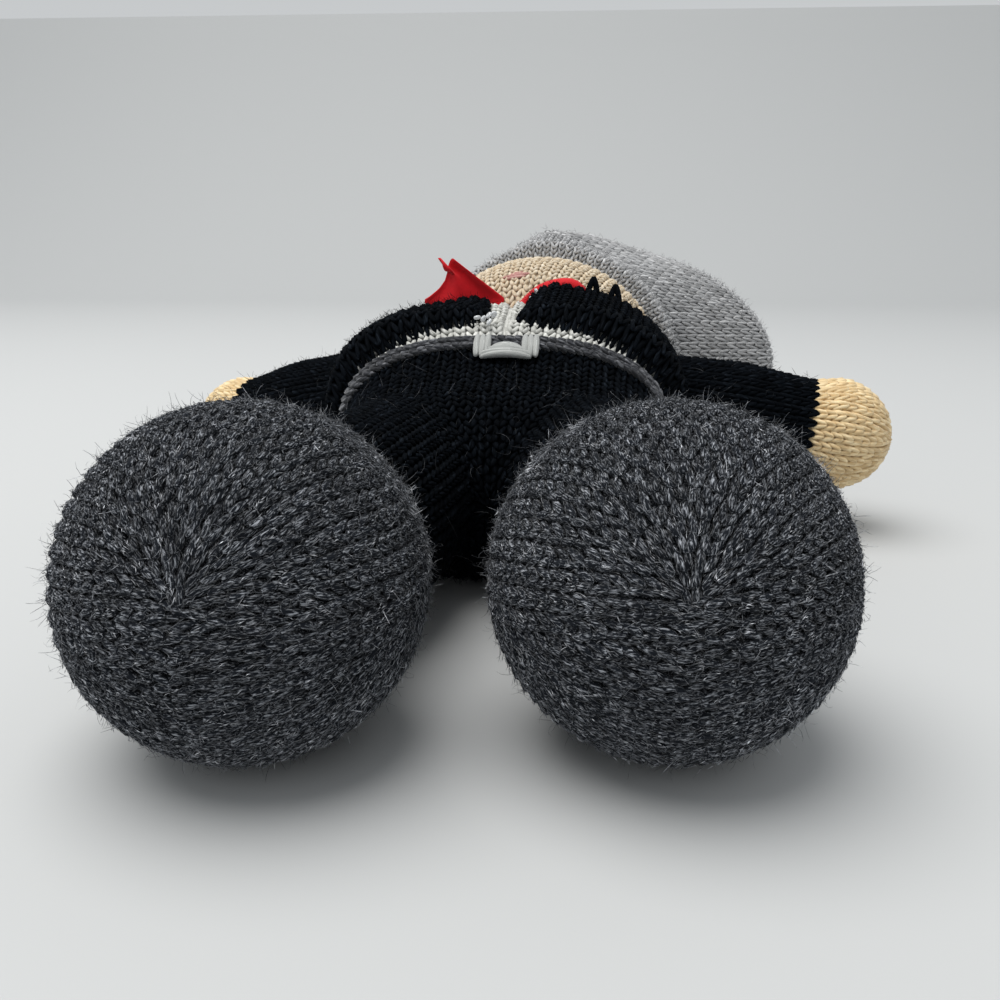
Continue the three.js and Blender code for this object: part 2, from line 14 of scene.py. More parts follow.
import bmesh
import bpy
import numpy as np
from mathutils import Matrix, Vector

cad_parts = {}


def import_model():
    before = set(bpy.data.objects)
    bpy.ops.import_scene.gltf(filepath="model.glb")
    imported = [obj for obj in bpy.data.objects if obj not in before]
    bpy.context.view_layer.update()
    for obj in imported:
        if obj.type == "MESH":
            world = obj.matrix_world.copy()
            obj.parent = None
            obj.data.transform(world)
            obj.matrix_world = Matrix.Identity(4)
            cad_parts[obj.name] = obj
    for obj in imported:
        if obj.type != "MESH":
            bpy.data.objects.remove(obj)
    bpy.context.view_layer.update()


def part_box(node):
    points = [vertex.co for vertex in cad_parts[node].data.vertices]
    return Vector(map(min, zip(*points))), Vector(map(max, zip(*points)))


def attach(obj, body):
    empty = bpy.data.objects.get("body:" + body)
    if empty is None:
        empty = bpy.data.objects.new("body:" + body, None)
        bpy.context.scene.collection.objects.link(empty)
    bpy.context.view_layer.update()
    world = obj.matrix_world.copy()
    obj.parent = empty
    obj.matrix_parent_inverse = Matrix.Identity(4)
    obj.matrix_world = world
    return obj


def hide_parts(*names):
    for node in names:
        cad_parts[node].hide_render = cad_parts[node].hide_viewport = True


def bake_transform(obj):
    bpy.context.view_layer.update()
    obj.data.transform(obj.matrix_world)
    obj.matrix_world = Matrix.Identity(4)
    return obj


LOG = logging.getLogger("knitted_doll")
SEED = 20
FLOOR = 0.0
FULL_TURN = 2.0 * math.pi
HIP = (0.0305, -0.066, 0.03475)
SHOULDER = (0.061, 0.016, 0.046)
# One lobe of yarn, in stitch widths, stitch heights and thicknesses of the yarn.
LOBE_ASIDE = 0.235
LOBE_SLANT = 0.135
LOBE_HALF_WIDTH = 0.25
LOBE_HALF_LENGTH = 0.86
LOBE_HALF_DEPTH = 0.5
LOBE_DIP = 0.3
Picker = Callable[[np.ndarray], np.ndarray]
Surface = Callable[[np.ndarray, np.ndarray], np.ndarray]


class Detail(Enum):
    """How many facets one lobe of yarn has: rings along it, and points round it."""

    NEAR = (5, 6)
    FAR = (4, 5)


class Lay(Enum):
    """Which way a form's knitting grows along its axis."""

    FORWARD = 1
    BACKWARD = -1


class Shading:
    """A node material while it is built."""

    def __init__(self, name: str, values: dict[str, object]) -> None:
        """Starts a material whose shader has those values."""
        self.material = bpy.data.materials.new(name)
        self.material.use_nodes = True
        self.shader = self.material.node_tree.nodes["Principled BSDF"]
        self._fill(self.shader, values)

    @staticmethod
    def _fill(node: bpy.types.Node, values: dict[str, object]) -> None:
        """Sets a node's inputs."""
        for name, value in values.items():
            node.inputs[name].default_value = value

    def node(self, kind: str, values: dict[str, object] | None = None, **settings: str) -> bpy.types.Node:
        """Adds a node.

        Args:
            kind: Its type, without the common start of the name.
            values: Its inputs' values.
            settings: Its own settings, which come first because they choose its inputs.

        Returns:
            The node.
        """
        made = self.material.node_tree.nodes.new(f"ShaderNode{kind}")
        for name, value in settings.items():
            setattr(made, name, value)
        self._fill(made, values or {})
        return made

    def link(self, start: bpy.types.Node, output: str, end: bpy.types.Node, slot: str | int) -> None:
        """Joins a node's output to another's input."""
        self.material.node_tree.links.new(start.outputs[output], end.inputs[slot])


@dataclass(frozen=True)
class YarnFinish:
    """The look of one yarn.

    Attributes:
        name: The material's name.
        slot: The record's material slot.
        dark: Linear colour of its darkest fibres.
        light: Linear colour of its lightest fibres.
        fleck: Share of light fibres, from 0 to 1.
        spread: How far single stitches differ in brightness.
        fibre_scale: Fibre streaks to the metre.
        sheen: Weight of the soft sheen at glancing angles.
        relief: Strength of the fibres' bump.
        gloss: Strength of the plain reflection.
    """

    TWIST = math.radians(24.0)
    DRAWN = 0.16
    RISE = 0.0004

    name: str
    slot: str
    dark: tuple[float, float, float]
    light: tuple[float, float, float]
    fleck: float = 0.5
    spread: float = 0.25
    fibre_scale: float = 900.0
    sheen: float = 0.25
    relief: float = 0.5
    gloss: float = 0.2

    def material(self) -> bpy.types.Material:
        """Builds the yarn's material, or returns the one that exists.

        Returns:
            A material whose streaks follow the yarn through the yarn_place attribute.
        """
        found = bpy.data.materials.get(self.name)
        if found:
            return found
        made = Shading(self.name, {
            "Roughness": 0.85,
            "Specular IOR Level": self.gloss,
            "Sheen Weight": self.sheen,
            "Sheen Roughness": 0.55,
        })
        place = made.node("Attribute", attribute_name="yarn_place")
        twist = made.node("Mapping", {"Rotation": (0.0, 0.0, self.TWIST), "Scale": (1.0, self.DRAWN, 1.0)})
        fibres = made.node("TexNoise", {"Scale": self.fibre_scale, "Detail": 3.0, "Roughness": 0.6})
        least, most = 0.72 - 0.4 * self.fleck, 0.86 - 0.3 * self.fleck
        share = made.node("MapRange", {"From Min": least, "From Max": most})
        colour = made.node("Mix", {"A": (*self.dark, 1.0), "B": (*self.light, 1.0)}, data_type="RGBA")
        tint = made.node("Attribute", attribute_name="yarn_tint")
        level = made.node("MapRange", {"To Min": 1.0 - self.spread, "To Max": 1.0 + self.spread})
        toned = made.node("VectorMath", operation="SCALE")
        bump = made.node("Bump", {"Strength": self.relief, "Distance": self.RISE})
        made.link(place, "Vector", twist, "Vector")
        made.link(twist, "Vector", fibres, "Vector")
        made.link(fibres, "Fac", share, "Value")
        made.link(share, "Result", colour, "Factor")
        made.link(tint, "Fac", level, "Value")
        made.link(colour, "Result", toned, 0)
        made.link(level, "Result", toned, "Scale")
        made.link(toned, "Vector", made.shader, "Base Color")
        made.link(fibres, "Fac", bump, "Height")
        made.link(bump, "Normal", made.shader, "Normal")
        return made.material


CHARCOAL = YarnFinish(
    "charcoal_marl", "charcoal_knit", (0.009, 0.011, 0.015), (0.41, 0.43, 0.47),
    0.52, 0.35, 3200.0, 0.04, 1.0, 0.05,
)
CHARCOAL_FIBRE = YarnFinish(
    "charcoal_fibre", "charcoal_knit", (0.085, 0.092, 0.105), (0.76, 0.78, 0.83),
    0.5, 0.8, 400.0, 0.2, 0.0, 0.1,
)
BLACK = YarnFinish(
    "black_wool", "black_knit", (0.0022, 0.0031, 0.0046), (0.012, 0.0158, 0.022),
    0.45, 0.4, 900.0, 0.0, 0.6, 0.03,
)
BLACK_FIBRE = YarnFinish(
    "black_fibre", "black_knit", (0.003, 0.004, 0.0055), (0.02, 0.024, 0.03), 0.45, 0.5, 300.0, 0.0, 0.0, 0.03
)
GREY_FIBRE = YarnFinish(
    "grey_fibre", "black_knit", (0.03, 0.032, 0.037), (0.16, 0.165, 0.18), 0.5, 0.7, 300.0, 0.1, 0.0
)
BELT = YarnFinish(
    "belt_marl", "belt_knit", (0.03, 0.032, 0.038), (0.2, 0.205, 0.222), 0.6, 0.45, 1400.0, 0.2, 0.6
)
HEATHER = YarnFinish(
    "heather_grey", "heather_knit", (0.33, 0.333, 0.34), (0.6, 0.604, 0.612), 0.62, 0.24, 1200.0, 0.2, 0.4
)
HEATHER_FIBRE = YarnFinish(
    "heather_fibre", "heather_knit", (0.27, 0.27, 0.276), (0.6, 0.6, 0.608), 0.6, 0.5, 300.0, 0.1, 0.0
)
CREAM = YarnFinish(
    "cream_wool", "cream_knit", (0.66, 0.48, 0.255), (0.9, 0.735, 0.46), 0.75, 0.08, 800.0, 0.2, 0.35
)
FACE = YarnFinish(
    "face_wool", "cream_knit", (0.56, 0.45, 0.31), (0.73, 0.65, 0.52), 0.75, 0.06, 800.0, 0.2, 0.3
)
WHITE = YarnFinish(
    "white_wool", "white_knit", (0.48, 0.48, 0.45), (0.72, 0.72, 0.69), 0.7, 0.12, 800.0, 0.2, 0.4
)
BUCKLE = YarnFinish(
    "buckle_wool", "buckle_yarn", (0.34, 0.35, 0.34), (0.62, 0.63, 0.61), 0.65, 0.1, 900.0, 0.2, 0.5
)
MOUTH = YarnFinish(
    "mouth_thread", "mouth_yarn", (0.44, 0.21, 0.19), (0.66, 0.4, 0.36), 0.6, 0.1, 900.0, 0.1, 0.4
)
EYE = YarnFinish(
    "eye_thread", "eye_yarn", (0.007, 0.006, 0.006), (0.03, 0.027, 0.027), 0.5, 0.1, 900.0, 0.1, 0.4
)


@dataclass(frozen=True)
class Gauge:
    """The size of one stitch.

    Attributes:
        width: Across the wale.
        height: Along the wale, from one course to the next.
        yarn: The yarn's thickness.
    """

    width: float = 0.0044
    height: float = 0.0033
    yarn: float = 0.0023


@dataclass(frozen=True)
class Section:
    """A cross-section of a stuffed form, square to its axis.

    Attributes:
        station: Distance along the axis.
        half_width: Half its width.
        low: Its lowest point, from the axis.
        high: Its highest point, from the axis.
        shift: How far it lies to the side of the axis.
        squareness: 2 is an ellipse, and more is boxier.
    """

    station: float
    half_width: float
    low: float
    high: float
    shift: float = 0.0
    squareness: float = 2.0

    @staticmethod
    def round(station: float, radius: float) -> Section:
        """A round section of that radius."""
        return Section(station, radius, -radius, radius)


@dataclass(frozen=True)
class Swell:
    """A soft bump on a form.

    Attributes:
        turn: Where it is round the axis, in degrees from the form's side towards its top.
        turn_reach: How far it spreads round the axis, in degrees.
        station: Where it is along the axis.
        station_reach: How far it spreads along the axis.
        rise: How far it stands out.
    """

    turn: float
    turn_reach: float
    station: float
    station_reach: float
    rise: float


class StuffedForm:
    """A closed stuffed form that swells through its sections and is rounded at both ends."""

    SAMPLES = 240
    CAP_SAMPLES = 40

    def __init__(
        self,
        sections: list[Section],
        poles: tuple[float, float],
        origin: Vector,
        axis: Vector,
        swells: tuple[Swell, ...] = (),
        padding: Picker | None = None,
        warp: Surface | None = None,
    ) -> None:
        """Samples the form's outline along its axis.

        Args:
            sections: The full sections, in order along the axis.
            poles: Stations of the two rounded ends.
            origin: The point that stations are measured from.
            axis: The direction of the axis.
            swells: Bumps on the form.
            padding: Depth of a padded layer over the form, at each point of it.
            warp: Lengths along the form at which courses lie, for angles and even lengths.
        """
        self.padding = padding
        self.warp = warp
        self.origin = np.array(origin)
        self.axis = np.array(axis.normalized())
        side = axis.cross(Vector((0.0, 0.0, 1.0))).normalized()
        self.side = np.array(side)
        self.up = np.array(side.cross(axis).normalized())
        self.swells = swells
        self._sample(sections, poles)
        self.length = float(self.reach[-1])

    def _sample(self, sections: list[Section], poles: tuple[float, float]) -> None:
        """Fills the tables of section values along the form, with its rounded ends.

        Args:
            sections: The full sections.
            poles: Stations of the two ends.
        """
        first, last = sections[0], sections[-1]
        stations = [s.station for s in sections]
        quarter = np.linspace(0.0, math.pi / 2.0, self.CAP_SAMPLES, endpoint=False)
        start = first.station + (poles[0] - first.station) * np.cos(quarter)
        end = last.station + (poles[1] - last.station) * np.cos(quarter[::-1])
        middle = np.linspace(stations[0], stations[-1], self.SAMPLES)
        self.station = np.concatenate([start, middle, end])
        shrink = np.concatenate([np.sin(quarter), np.ones(self.SAMPLES), np.sin(quarter[::-1])])

        def eased(values: list[float]) -> np.ndarray:
            """One section value along the form, smoothed between sections."""
            dense = np.interp(middle, stations, values)
            width = self.SAMPLES // 8
            padded = np.pad(dense, width, mode="edge")
            kernel = np.hanning(2 * width + 1)
            smooth = np.convolve(padded, kernel / kernel.sum(), mode="valid")
            return np.interp(self.station, middle, smooth)

        centre = eased([(s.low + s.high) / 2.0 for s in sections])
        self.half_height = eased([(s.high - s.low) / 2.0 for s in sections]) * shrink
        self.half_width = eased([s.half_width for s in sections]) * shrink
        self.centre = centre
        self.shift = eased([s.shift for s in sections])
        self.squareness = eased([s.squareness for s in sections])
        mean = (self.half_height + self.half_width) / 2.0
        steps = np.hypot(np.diff(self.station), np.diff(mean))
        self.reach = np.concatenate([[0.0], np.cumsum(steps)])

    def points(self, turn: np.ndarray, reach: np.ndarray) -> np.ndarray:
        """Points on the form, or on the padding over it, given as for surface()."""
        place = self.surface(turn, reach)
        if self.padding is None:
            return place
        return place + facing(self.surface, turn, reach) * self.padding(place)[:, None]

    def surface(self, turn: np.ndarray, reach: np.ndarray) -> np.ndarray:
        """Points on the form itself.

        Args:
            turn: Angles round the axis, in radians from the form's side towards its top.
            reach: Lengths along the surface from the first end.

        Returns:
            One row of x, y and z for each angle.
        """
        if self.warp is not None:
            reach = self.warp(turn, reach)
        values = (self.station, self.half_width, self.half_height, self.centre, self.shift, self.squareness)
        station, width, height, centre, shift, square = (np.interp(reach, self.reach, v) for v in values)
        cos, sin = np.cos(turn), np.sin(turn)
        across = np.sign(cos) * np.abs(cos) ** (2.0 / square)
        rise = np.sign(sin) * np.abs(sin) ** (2.0 / square)
        grow = np.zeros_like(turn)
        for swell in self.swells:
            away = (np.degrees(turn) - swell.turn + 180.0) % 360.0 - 180.0
            along = (station - swell.station) / swell.station_reach
            grow = grow + swell.rise * np.exp(-((away / swell.turn_reach) ** 2) - along**2)
        width, height = width + grow, height + grow
        return (
            self.origin
            + np.outer(station, self.axis)
            + np.outer(shift + width * across, self.side)
            + np.outer(centre + height * rise, self.up)
        )

    def normals(self, turn: np.ndarray, reach: np.ndarray) -> np.ndarray:
        """Outward unit normals at points(), given as for surface()."""
        return facing(self.points, turn, reach)

    def ring(self, reach: float, count: int, phase: float) -> tuple[np.ndarray, float]:
        """Angles that are evenly spaced round the form by length.

        Args:
            reach: Length along the surface from the first end.
            count: How many angles.
            phase: Where the first lies, as a share of the spacing.

        Returns:
            The angles, and the ring's length.
        """
        fine = np.linspace(0.0, FULL_TURN, 241)
        ring = self.points(fine, np.full_like(fine, reach))
        run = np.concatenate([[0.0], np.cumsum(np.linalg.norm(np.diff(ring, axis=0), axis=1))])
        wanted = (np.arange(count) + phase) / count * run[-1]
        return np.interp(wanted % run[-1], run, fine), float(run[-1])

    def share_at(self, station: float) -> float:
        """How far along the surface a station lies, as a share of the form's length."""
        return float(np.interp(station, self.station, self.reach)) / self.length

    def base_mesh(
        self,
        inset: float,
        span: tuple[float, float] = (0.0, 1.0),
        segments: int = 40,
        worn: Picker | None = None,
    ) -> bmesh.types.BMesh:
        """The closed form under the stitches.

        Args:
            inset: How far it lies inside the form.
            span: The stretch of the form that it covers, as shares of its length.
            segments: How many faces it has round it.
            worn: Which points of the form a garment covers, where it is a thin wall.

        Returns:
            A bmesh made from a sphere whose points are moved on to the form.
        """
        made = bmesh.new()
        bmesh.ops.create_uvsphere(made, u_segments=segments, v_segments=28, radius=1.0)
        places = np.array([v.co for v in made.verts])
        turn = np.arctan2(places[:, 1], places[:, 0])
        share = np.arccos(np.clip(places[:, 2], -1.0, 1.0)) / math.pi
        reach = self.length * (span[0] + (span[1] - span[0]) * share)
        moved = self.points(turn, reach) - inset * self.normals(turn, reach)
        for vertex, place in zip(made.verts, moved):
            vertex.co = place
        bmesh.ops.recalc_face_normals(made, faces=made.faces)
        if worn is not None:
            covered = worn(self.surface(turn, reach))
            bare = [vertex for vertex, keep in zip(list(made.verts), covered) if not keep]
            bmesh.ops.delete(made, geom=bare, context="VERTS")
            bmesh.ops.solidify(made, geom=made.faces, thickness=inset)
        return made


def unit(rows: np.ndarray) -> np.ndarray:
    """Each row as a vector of length one."""
    return rows / np.maximum(np.linalg.norm(rows, axis=1, keepdims=True), 1e-12)


def facing(points: Surface, turn: np.ndarray, reach: np.ndarray) -> np.ndarray:
    """Outward unit normals of a surface.

    Args:
        points: What gives the surface's points.
        turn: Angles round its axis.
        reach: Lengths along it.

    Returns:
        One normal for each angle.
    """
    small_turn, small_reach = 1e-3, 1e-5
    round_it = points(turn + small_turn, reach) - points(turn - small_turn, reach)
    along = points(turn, reach + small_reach) - points(turn, reach - small_reach)
    return unit(np.cross(along, round_it))


@dataclass
class Stitches:
    """Where stitches lie: one row for each.

    Attributes:
        place: The middle of each stitch.
        across: One stitch's width along the course.
        along: One stitch's height along the wale, in the direction of knitting.
        out: The outward unit normal.
    """

    place: np.ndarray
    across: np.ndarray
    along: np.ndarray
    out: np.ndarray

    def __len__(self) -> int:
        """How many stitches there are."""
        return len(self.place)

    def kept(self, mask: np.ndarray) -> Stitches:
        """The stitches that a mask picks."""
        return Stitches(self.place[mask], self.across[mask], self.along[mask], self.out[mask])

    @staticmethod
    def joined(parts: list[Stitches]) -> Stitches:
        """Several lots of stitches as one."""
        names = ("place", "across", "along", "out")
        return Stitches(*(np.concatenate([getattr(p, n) for p in parts]) for n in names))


class Knitter:
    """Lays stitches on forms, and makes their meshes."""

    WEDGES = 6
    BASE_INSET = 0.0011
    STITCH_INSET = 0.0005
    GIVE = 0.12
    WOBBLE = 0.06

    def __init__(self) -> None:
        """Makes the lobes of yarn, and the source of chance."""
        self.chance = np.random.default_rng(SEED)
        self.lobes = {detail: self._lobe(detail) for detail in Detail}

    def _lobe(self, detail: Detail) -> tuple[np.ndarray, list[list[int]]]:
        """One stitch's right lobe: x in stitch widths, y in stitch heights, z in yarn thicknesses.

        Args:
            detail: How many facets it has.

        Returns:
            Its points, and its faces.
        """
        rings, sides = detail.value
        made = bmesh.new()
        bmesh.ops.create_uvsphere(made, u_segments=sides, v_segments=rings, radius=1.0)
        for vertex in made.verts:
            length = vertex.co.z
            fullness = (1.0 - 0.35 * length * length) / max(1e-6, math.sqrt(max(1e-6, 1.0 - length * length)))
            fullness = min(fullness, 1.25)
            width, depth = vertex.co.x * fullness, vertex.co.y * fullness
            vertex.co = Vector((
                LOBE_ASIDE + LOBE_SLANT * length + LOBE_HALF_WIDTH * width,
                LOBE_HALF_LENGTH * length + 0.12 * width,
                LOBE_HALF_DEPTH * depth - LOBE_DIP * length,
            ))
        bmesh.ops.recalc_face_normals(made, faces=made.faces)
        points = np.array([v.co for v in made.verts])
        made.verts.index_update()
        faces = [[v.index for v in f.verts] for f in made.faces]
        made.free()
        return points, faces

    def rounds(
        self,
        form: StuffedForm,
        gauge: Gauge,
        span: tuple[float, float] = (0.0, 1.0),
        lay: Lay = Lay.FORWARD,
        worn: Picker | None = None,
    ) -> Stitches:
        """Knits a form in rounds, with fewer stitches where it narrows.

        Args:
            form: The form to cover.
            gauge: The size of a stitch.
            span: The stretch of the form to cover, as shares of its length.
            lay: Which way the knitting grows.
            worn: Which points of the form a garment covers, where it doesn't cover them all.

        Returns:
            The stitches.
        """
        low, high = span[0] * form.length, span[1] * form.length
        courses = max(1, round((high - low) / gauge.height))
        height = (high - low) / courses
        parts = []
        held = 0
        for course in range(courses):
            reach = low + (course + 0.5) * height
            _, run = form.ring(reach, 1, 0.0)
            fit = max(1, round(run / gauge.width / self.WEDGES)) * self.WEDGES
            if held and abs(run / held / gauge.width - 1.0) < self.GIVE:
                fit = held
            held = fit
            turn, run = form.ring(reach, fit, 0.5)
            laid = self._course(form, turn, reach, run / fit, height * lay.value)
            if worn is not None:
                laid = laid.kept(worn(form.surface(turn, np.full_like(turn, reach))))
            parts.append(laid)
        return Stitches.joined(parts)

    def _course(
        self, form: StuffedForm, turn: np.ndarray, reach: float, width: float, height: float
    ) -> Stitches:
        """One round of stitches.

        Args:
            form: The form.
            turn: The stitches' angles.
            reach: The round's place along the form.
            width: One stitch's width.
            height: One stitch's height, negative where the knitting grows backwards.

        Returns:
            The round.
        """
        reaches = np.full_like(turn, reach)
        out = form.normals(turn, reaches)
        half = abs(height) / 2.0
        step = form.points(turn, reaches + half) - form.points(turn, reaches - half)
        stretch = np.clip(np.linalg.norm(step, axis=1, keepdims=True) / abs(height), 0.8, 2.0)
        along = unit(step)
        across = unit(np.cross(along, out))
        place = form.points(turn, reaches) - self.STITCH_INSET * out
        return Stitches(place, across * width, along * height * stretch, out)

    def hoop(self, form: StuffedForm, reach: float, gauge: Gauge, lift: float) -> Stitches:
        """One wale of stitches that runs round a form.

        Args:
            form: The form.
            reach: The wale's place along the form.
            gauge: The size of a stitch.
            lift: How far the wale stands off the form.

        Returns:
            The wale.
        """
        _, run = form.ring(reach, 1, 0.0)
        count = round(run / gauge.height)
        turn, run = form.ring(reach, count, 0.5)
        laid = self._course(form, turn, reach, run / count, gauge.width)
        along = unit(laid.across) * (run / count)
        across = unit(laid.along) * gauge.width
        return Stitches(laid.place + (lift + self.STITCH_INSET) * laid.out, across, along, laid.out)

    def mesh(
        self,
        name: str,
        stitches: Stitches,
        gauge: Gauge,
        finish: YarnFinish,
        detail: Detail = Detail.FAR,
        base: bmesh.types.BMesh | None = None,
    ) -> bpy.types.Object:
        """Makes the object that shows stitches, with the form under them.

        Args:
            name: The object's name.
            stitches: Where they lie.
            gauge: Their size.
            finish: Their yarn.
            detail: How many facets a lobe has.
            base: The form under them, if any.

        Returns:
            The object, at the origin.
        """
        points, faces = self.lobes[detail]
        count = len(stitches)
        wobble = 1.0 + self.WOBBLE * self.chance.standard_normal((2 * count, 3))
        places, streaks = [], []
        for side in (1.0, -1.0):
            size = wobble[:count] if side > 0 else wobble[count:]
            x = side * points[None, :, 0] * size[:, 0:1]
            y = points[None, :, 1] * size[:, 1:2]
            z = points[None, :, 2] * size[:, 2:3] * gauge.yarn
            place = (
                stitches.place[:, None, :]
                + x[..., None] * stitches.across[:, None, :]
                + y[..., None] * stitches.along[:, None, :]
                + z[..., None] * stitches.out[:, None, :]
            )
            places.append(place)
            local = np.stack([x * gauge.width, y * gauge.height, z], axis=2)
            streaks.append(local + self.chance.uniform(0.0, 1.0, (count, 1, 3)))
        tint = self.chance.uniform(0.0, 1.0, 2 * count)
        flip = bool(np.dot(np.cross(stitches.across[0], stitches.along[0]), stitches.out[0]) < 0.0)
        mirrored = np.repeat([flip, not flip], count)
        shape = (np.concatenate(places), np.concatenate(streaks), faces)
        return repeated(name, finish, shape, tint, mirrored, base)

    def cover(
        self,
        name: str,
        stitches: Stitches,
        gauge: Gauge,
        finish: YarnFinish,
        form: StuffedForm,
        span: tuple[float, float] = (0.0, 1.0),
    ) -> bpy.types.Object:
        """Makes the object that shows stitches on a stuffed form, given as for mesh() and base_mesh()."""
        return self.mesh(name, stitches, gauge, finish, base=form.base_mesh(self.BASE_INSET, span))


def repeated(
    name: str,
    finish: YarnFinish,
    shape: tuple[np.ndarray, np.ndarray, list[list[int]]],
    tint: np.ndarray,
    mirrored: np.ndarray,
    base: bmesh.types.BMesh | None = None,
) -> bpy.types.Object:
    """Repeats one small shape's faces over all its places, and adds the form under them.

    Args:
        name: The object's name.
        finish: The yarn.
        shape: Points of each copy, the yarn's own coordinates there, and the faces of one copy.
        tint: Brightness of each copy.
        mirrored: True for each copy whose faces turn round.
        base: The form under the copies, which is freed here. It takes the yarn's darkest tone, as painted
            shade in the gaps between them.

    Returns:
        The object.
    """
    place, streak, faces = shape
    copies, stride = place.shape[:2]
    place, streak = place.reshape(-1, 3), streak.reshape(-1, 3)
    place[:, 2] = np.maximum(place[:, 2], FLOOR)
    tint = np.repeat(tint, stride)
    sizes = np.array([len(f) for f in faces])
    forward = np.concatenate([np.array(f) for f in faces])
    backward = np.concatenate([np.array(f[::-1]) for f in faces])
    corners = np.where(mirrored[:, None], backward[None, :], forward[None, :])
    loops = (corners + (np.arange(copies) * stride)[:, None]).ravel()
    totals = np.tile(sizes, copies)
    if base is not None:
        base.verts.index_update()
        extra = np.array([v.co for v in base.verts])
        extra[:, 2] = np.maximum(extra[:, 2], FLOOR)
        offset = len(place)
        loops = np.concatenate([loops, [v.index + offset for f in base.faces for v in f.verts]])
        totals = np.concatenate([totals, [len(f.verts) for f in base.faces]])
        place = np.concatenate([place, extra])
        streak = np.concatenate([streak, extra])
        # The form under the copies gets tint 0, the darkest tone: painted shade in the gaps between the
        # stitches.
        tint = np.concatenate([tint, np.zeros(len(extra))])
        base.free()
    mesh = bpy.data.meshes.new(name)
    mesh.vertices.add(len(place))
    mesh.vertices.foreach_set("co", place.astype(np.float32).ravel())
    mesh.loops.add(len(loops))
    mesh.loops.foreach_set("vertex_index", loops.astype(np.int32))
    mesh.polygons.add(len(totals))
    first = np.concatenate([[0], np.cumsum(totals)[:-1]])
    mesh.polygons.foreach_set("loop_start", first.astype(np.int32))
    mesh.polygons.foreach_set("loop_total", totals.astype(np.int32))
    mesh.polygons.foreach_set("use_smooth", np.ones(len(totals), dtype=bool))
    mesh.update(calc_edges=True)
    mesh.validate()
    add_yarn(mesh, finish, streak, tint)
    made = bpy.data.objects.new(name, mesh)
    bpy.context.scene.collection.objects.link(made)
    LOG.info("%s: %d lobes or fibres, %d faces in all", name, copies, len(totals))
    return made


@dataclass(frozen=True)
class Fuzz:
    """Loose fibres on knitting.

    Attributes:
        finish: Their yarn.
        length: Their shortest and greatest length.
        width: A fibre's thickness.
        lift: How steeply they leave the yarn, in degrees.
        stray: How far they stray from the yarn's direction, in degrees.
        curl: How far they bend over their length, in degrees.
        bends: How many facets a fibre has along it.
    """

    finish: YarnFinish
    length: tuple[float, float]
    width: float
    lift: float
    stray: float
    curl: float
    bends: int = 3

    def grow(
        self, name: str, stitches: Stitches, gauge: Gauge, count: int, chance: np.random.Generator
    ) -> bpy.types.Object:
        """Grows fibres out of stitches.

        Args:
            name: The object's name.
            stitches: The stitches that they grow from.
            gauge: The size of those.
            count: How many fibres.
            chance: The source of chance.

        Returns:
            The object, at the origin.
        """
        fibre = bmesh.new()
        bmesh.ops.create_uvsphere(fibre, u_segments=3, v_segments=self.bends, radius=1.0)
        local = np.array([v.co for v in fibre.verts])
        fibre.verts.index_update()
        faces = [[v.index for v in f.verts] for f in fibre.faces]
        fibre.free()
        root, way, out = self._roots(stitches, gauge, count, chance)
        side = unit(np.cross(way, out))
        lean = np.radians(chance.uniform(0.0, 360.0, count))[:, None]
        aside = np.cos(lean) * side + np.abs(np.sin(lean)) * np.cross(side, way)
        bend = np.radians(self.curl * np.abs(chance.standard_normal(count)) + 1.0)[:, None]
        length = chance.uniform(*self.length, count)[:, None]
        run = (local[None, :, 2] + 1.0) / 2.0
        ahead = np.sin(bend * run) / bend * length
        swerve = (1.0 - np.cos(bend * run)) / bend * length
        thick = self.width / 2.0 * chance.uniform(0.7, 1.3, count)[:, None]
        place = (
            root[:, None, :]
            + ahead[..., None] * way[:, None, :]
            + swerve[..., None] * aside[:, None, :]
            + (local[None, :, 0] * thick)[..., None] * side[:, None, :]
            + (local[None, :, 1] * thick)[..., None] * np.cross(side, way)[:, None, :]
        )
        tint = chance.uniform(0.0, 1.0, count)
        return repeated(name, self.finish, (place, place.copy(), faces), tint, np.zeros(count, dtype=bool))

    def _roots(
        self, stitches: Stitches, gauge: Gauge, count: int, chance: np.random.Generator
    ) -> tuple[np.ndarray, np.ndarray, np.ndarray]:
        """Where fibres start, on the round of a lobe of yarn.

        Args:
            stitches: The stitches that they grow from.
            gauge: The size of those.
            count: How many fibres.
            chance: The source of chance.

        Returns:
            The roots, the fibres' directions there, and the outward normals.
        """
        pick = chance.integers(0, len(stitches), count)
        side = chance.choice([-1.0, 1.0], count)[:, None]
        along_lobe = chance.uniform(-0.9, 0.6, count)[:, None]
        round_lobe = np.radians(chance.uniform(-75.0, 75.0, count))[:, None]
        across, along, out = stitches.across[pick], stitches.along[pick], stitches.out[pick]
        root = (
            stitches.place[pick]
            + across * side * (LOBE_ASIDE + LOBE_SLANT * along_lobe + LOBE_HALF_WIDTH * np.sin(round_lobe))
            + along * LOBE_HALF_LENGTH * along_lobe
            + out * gauge.yarn * (LOBE_HALF_DEPTH * np.cos(round_lobe) - LOBE_DIP * along_lobe)
        )
        heading = unit(across * side * LOBE_SLANT + along * LOBE_HALF_LENGTH - out * LOBE_DIP * gauge.yarn)
        heading = heading * chance.choice([-1.0, 1.0], count, p=[0.3, 0.7])[:, None]
        aside = unit(np.cross(out, heading))
        stray = np.radians(self.stray * chance.standard_normal(count))[:, None]
        lift = np.radians(self.lift * np.abs(chance.standard_normal(count)))[:, None]
        way = np.cos(lift) * (np.cos(stray) * heading + np.sin(stray) * aside) + np.sin(lift) * out
        return root, unit(way), out


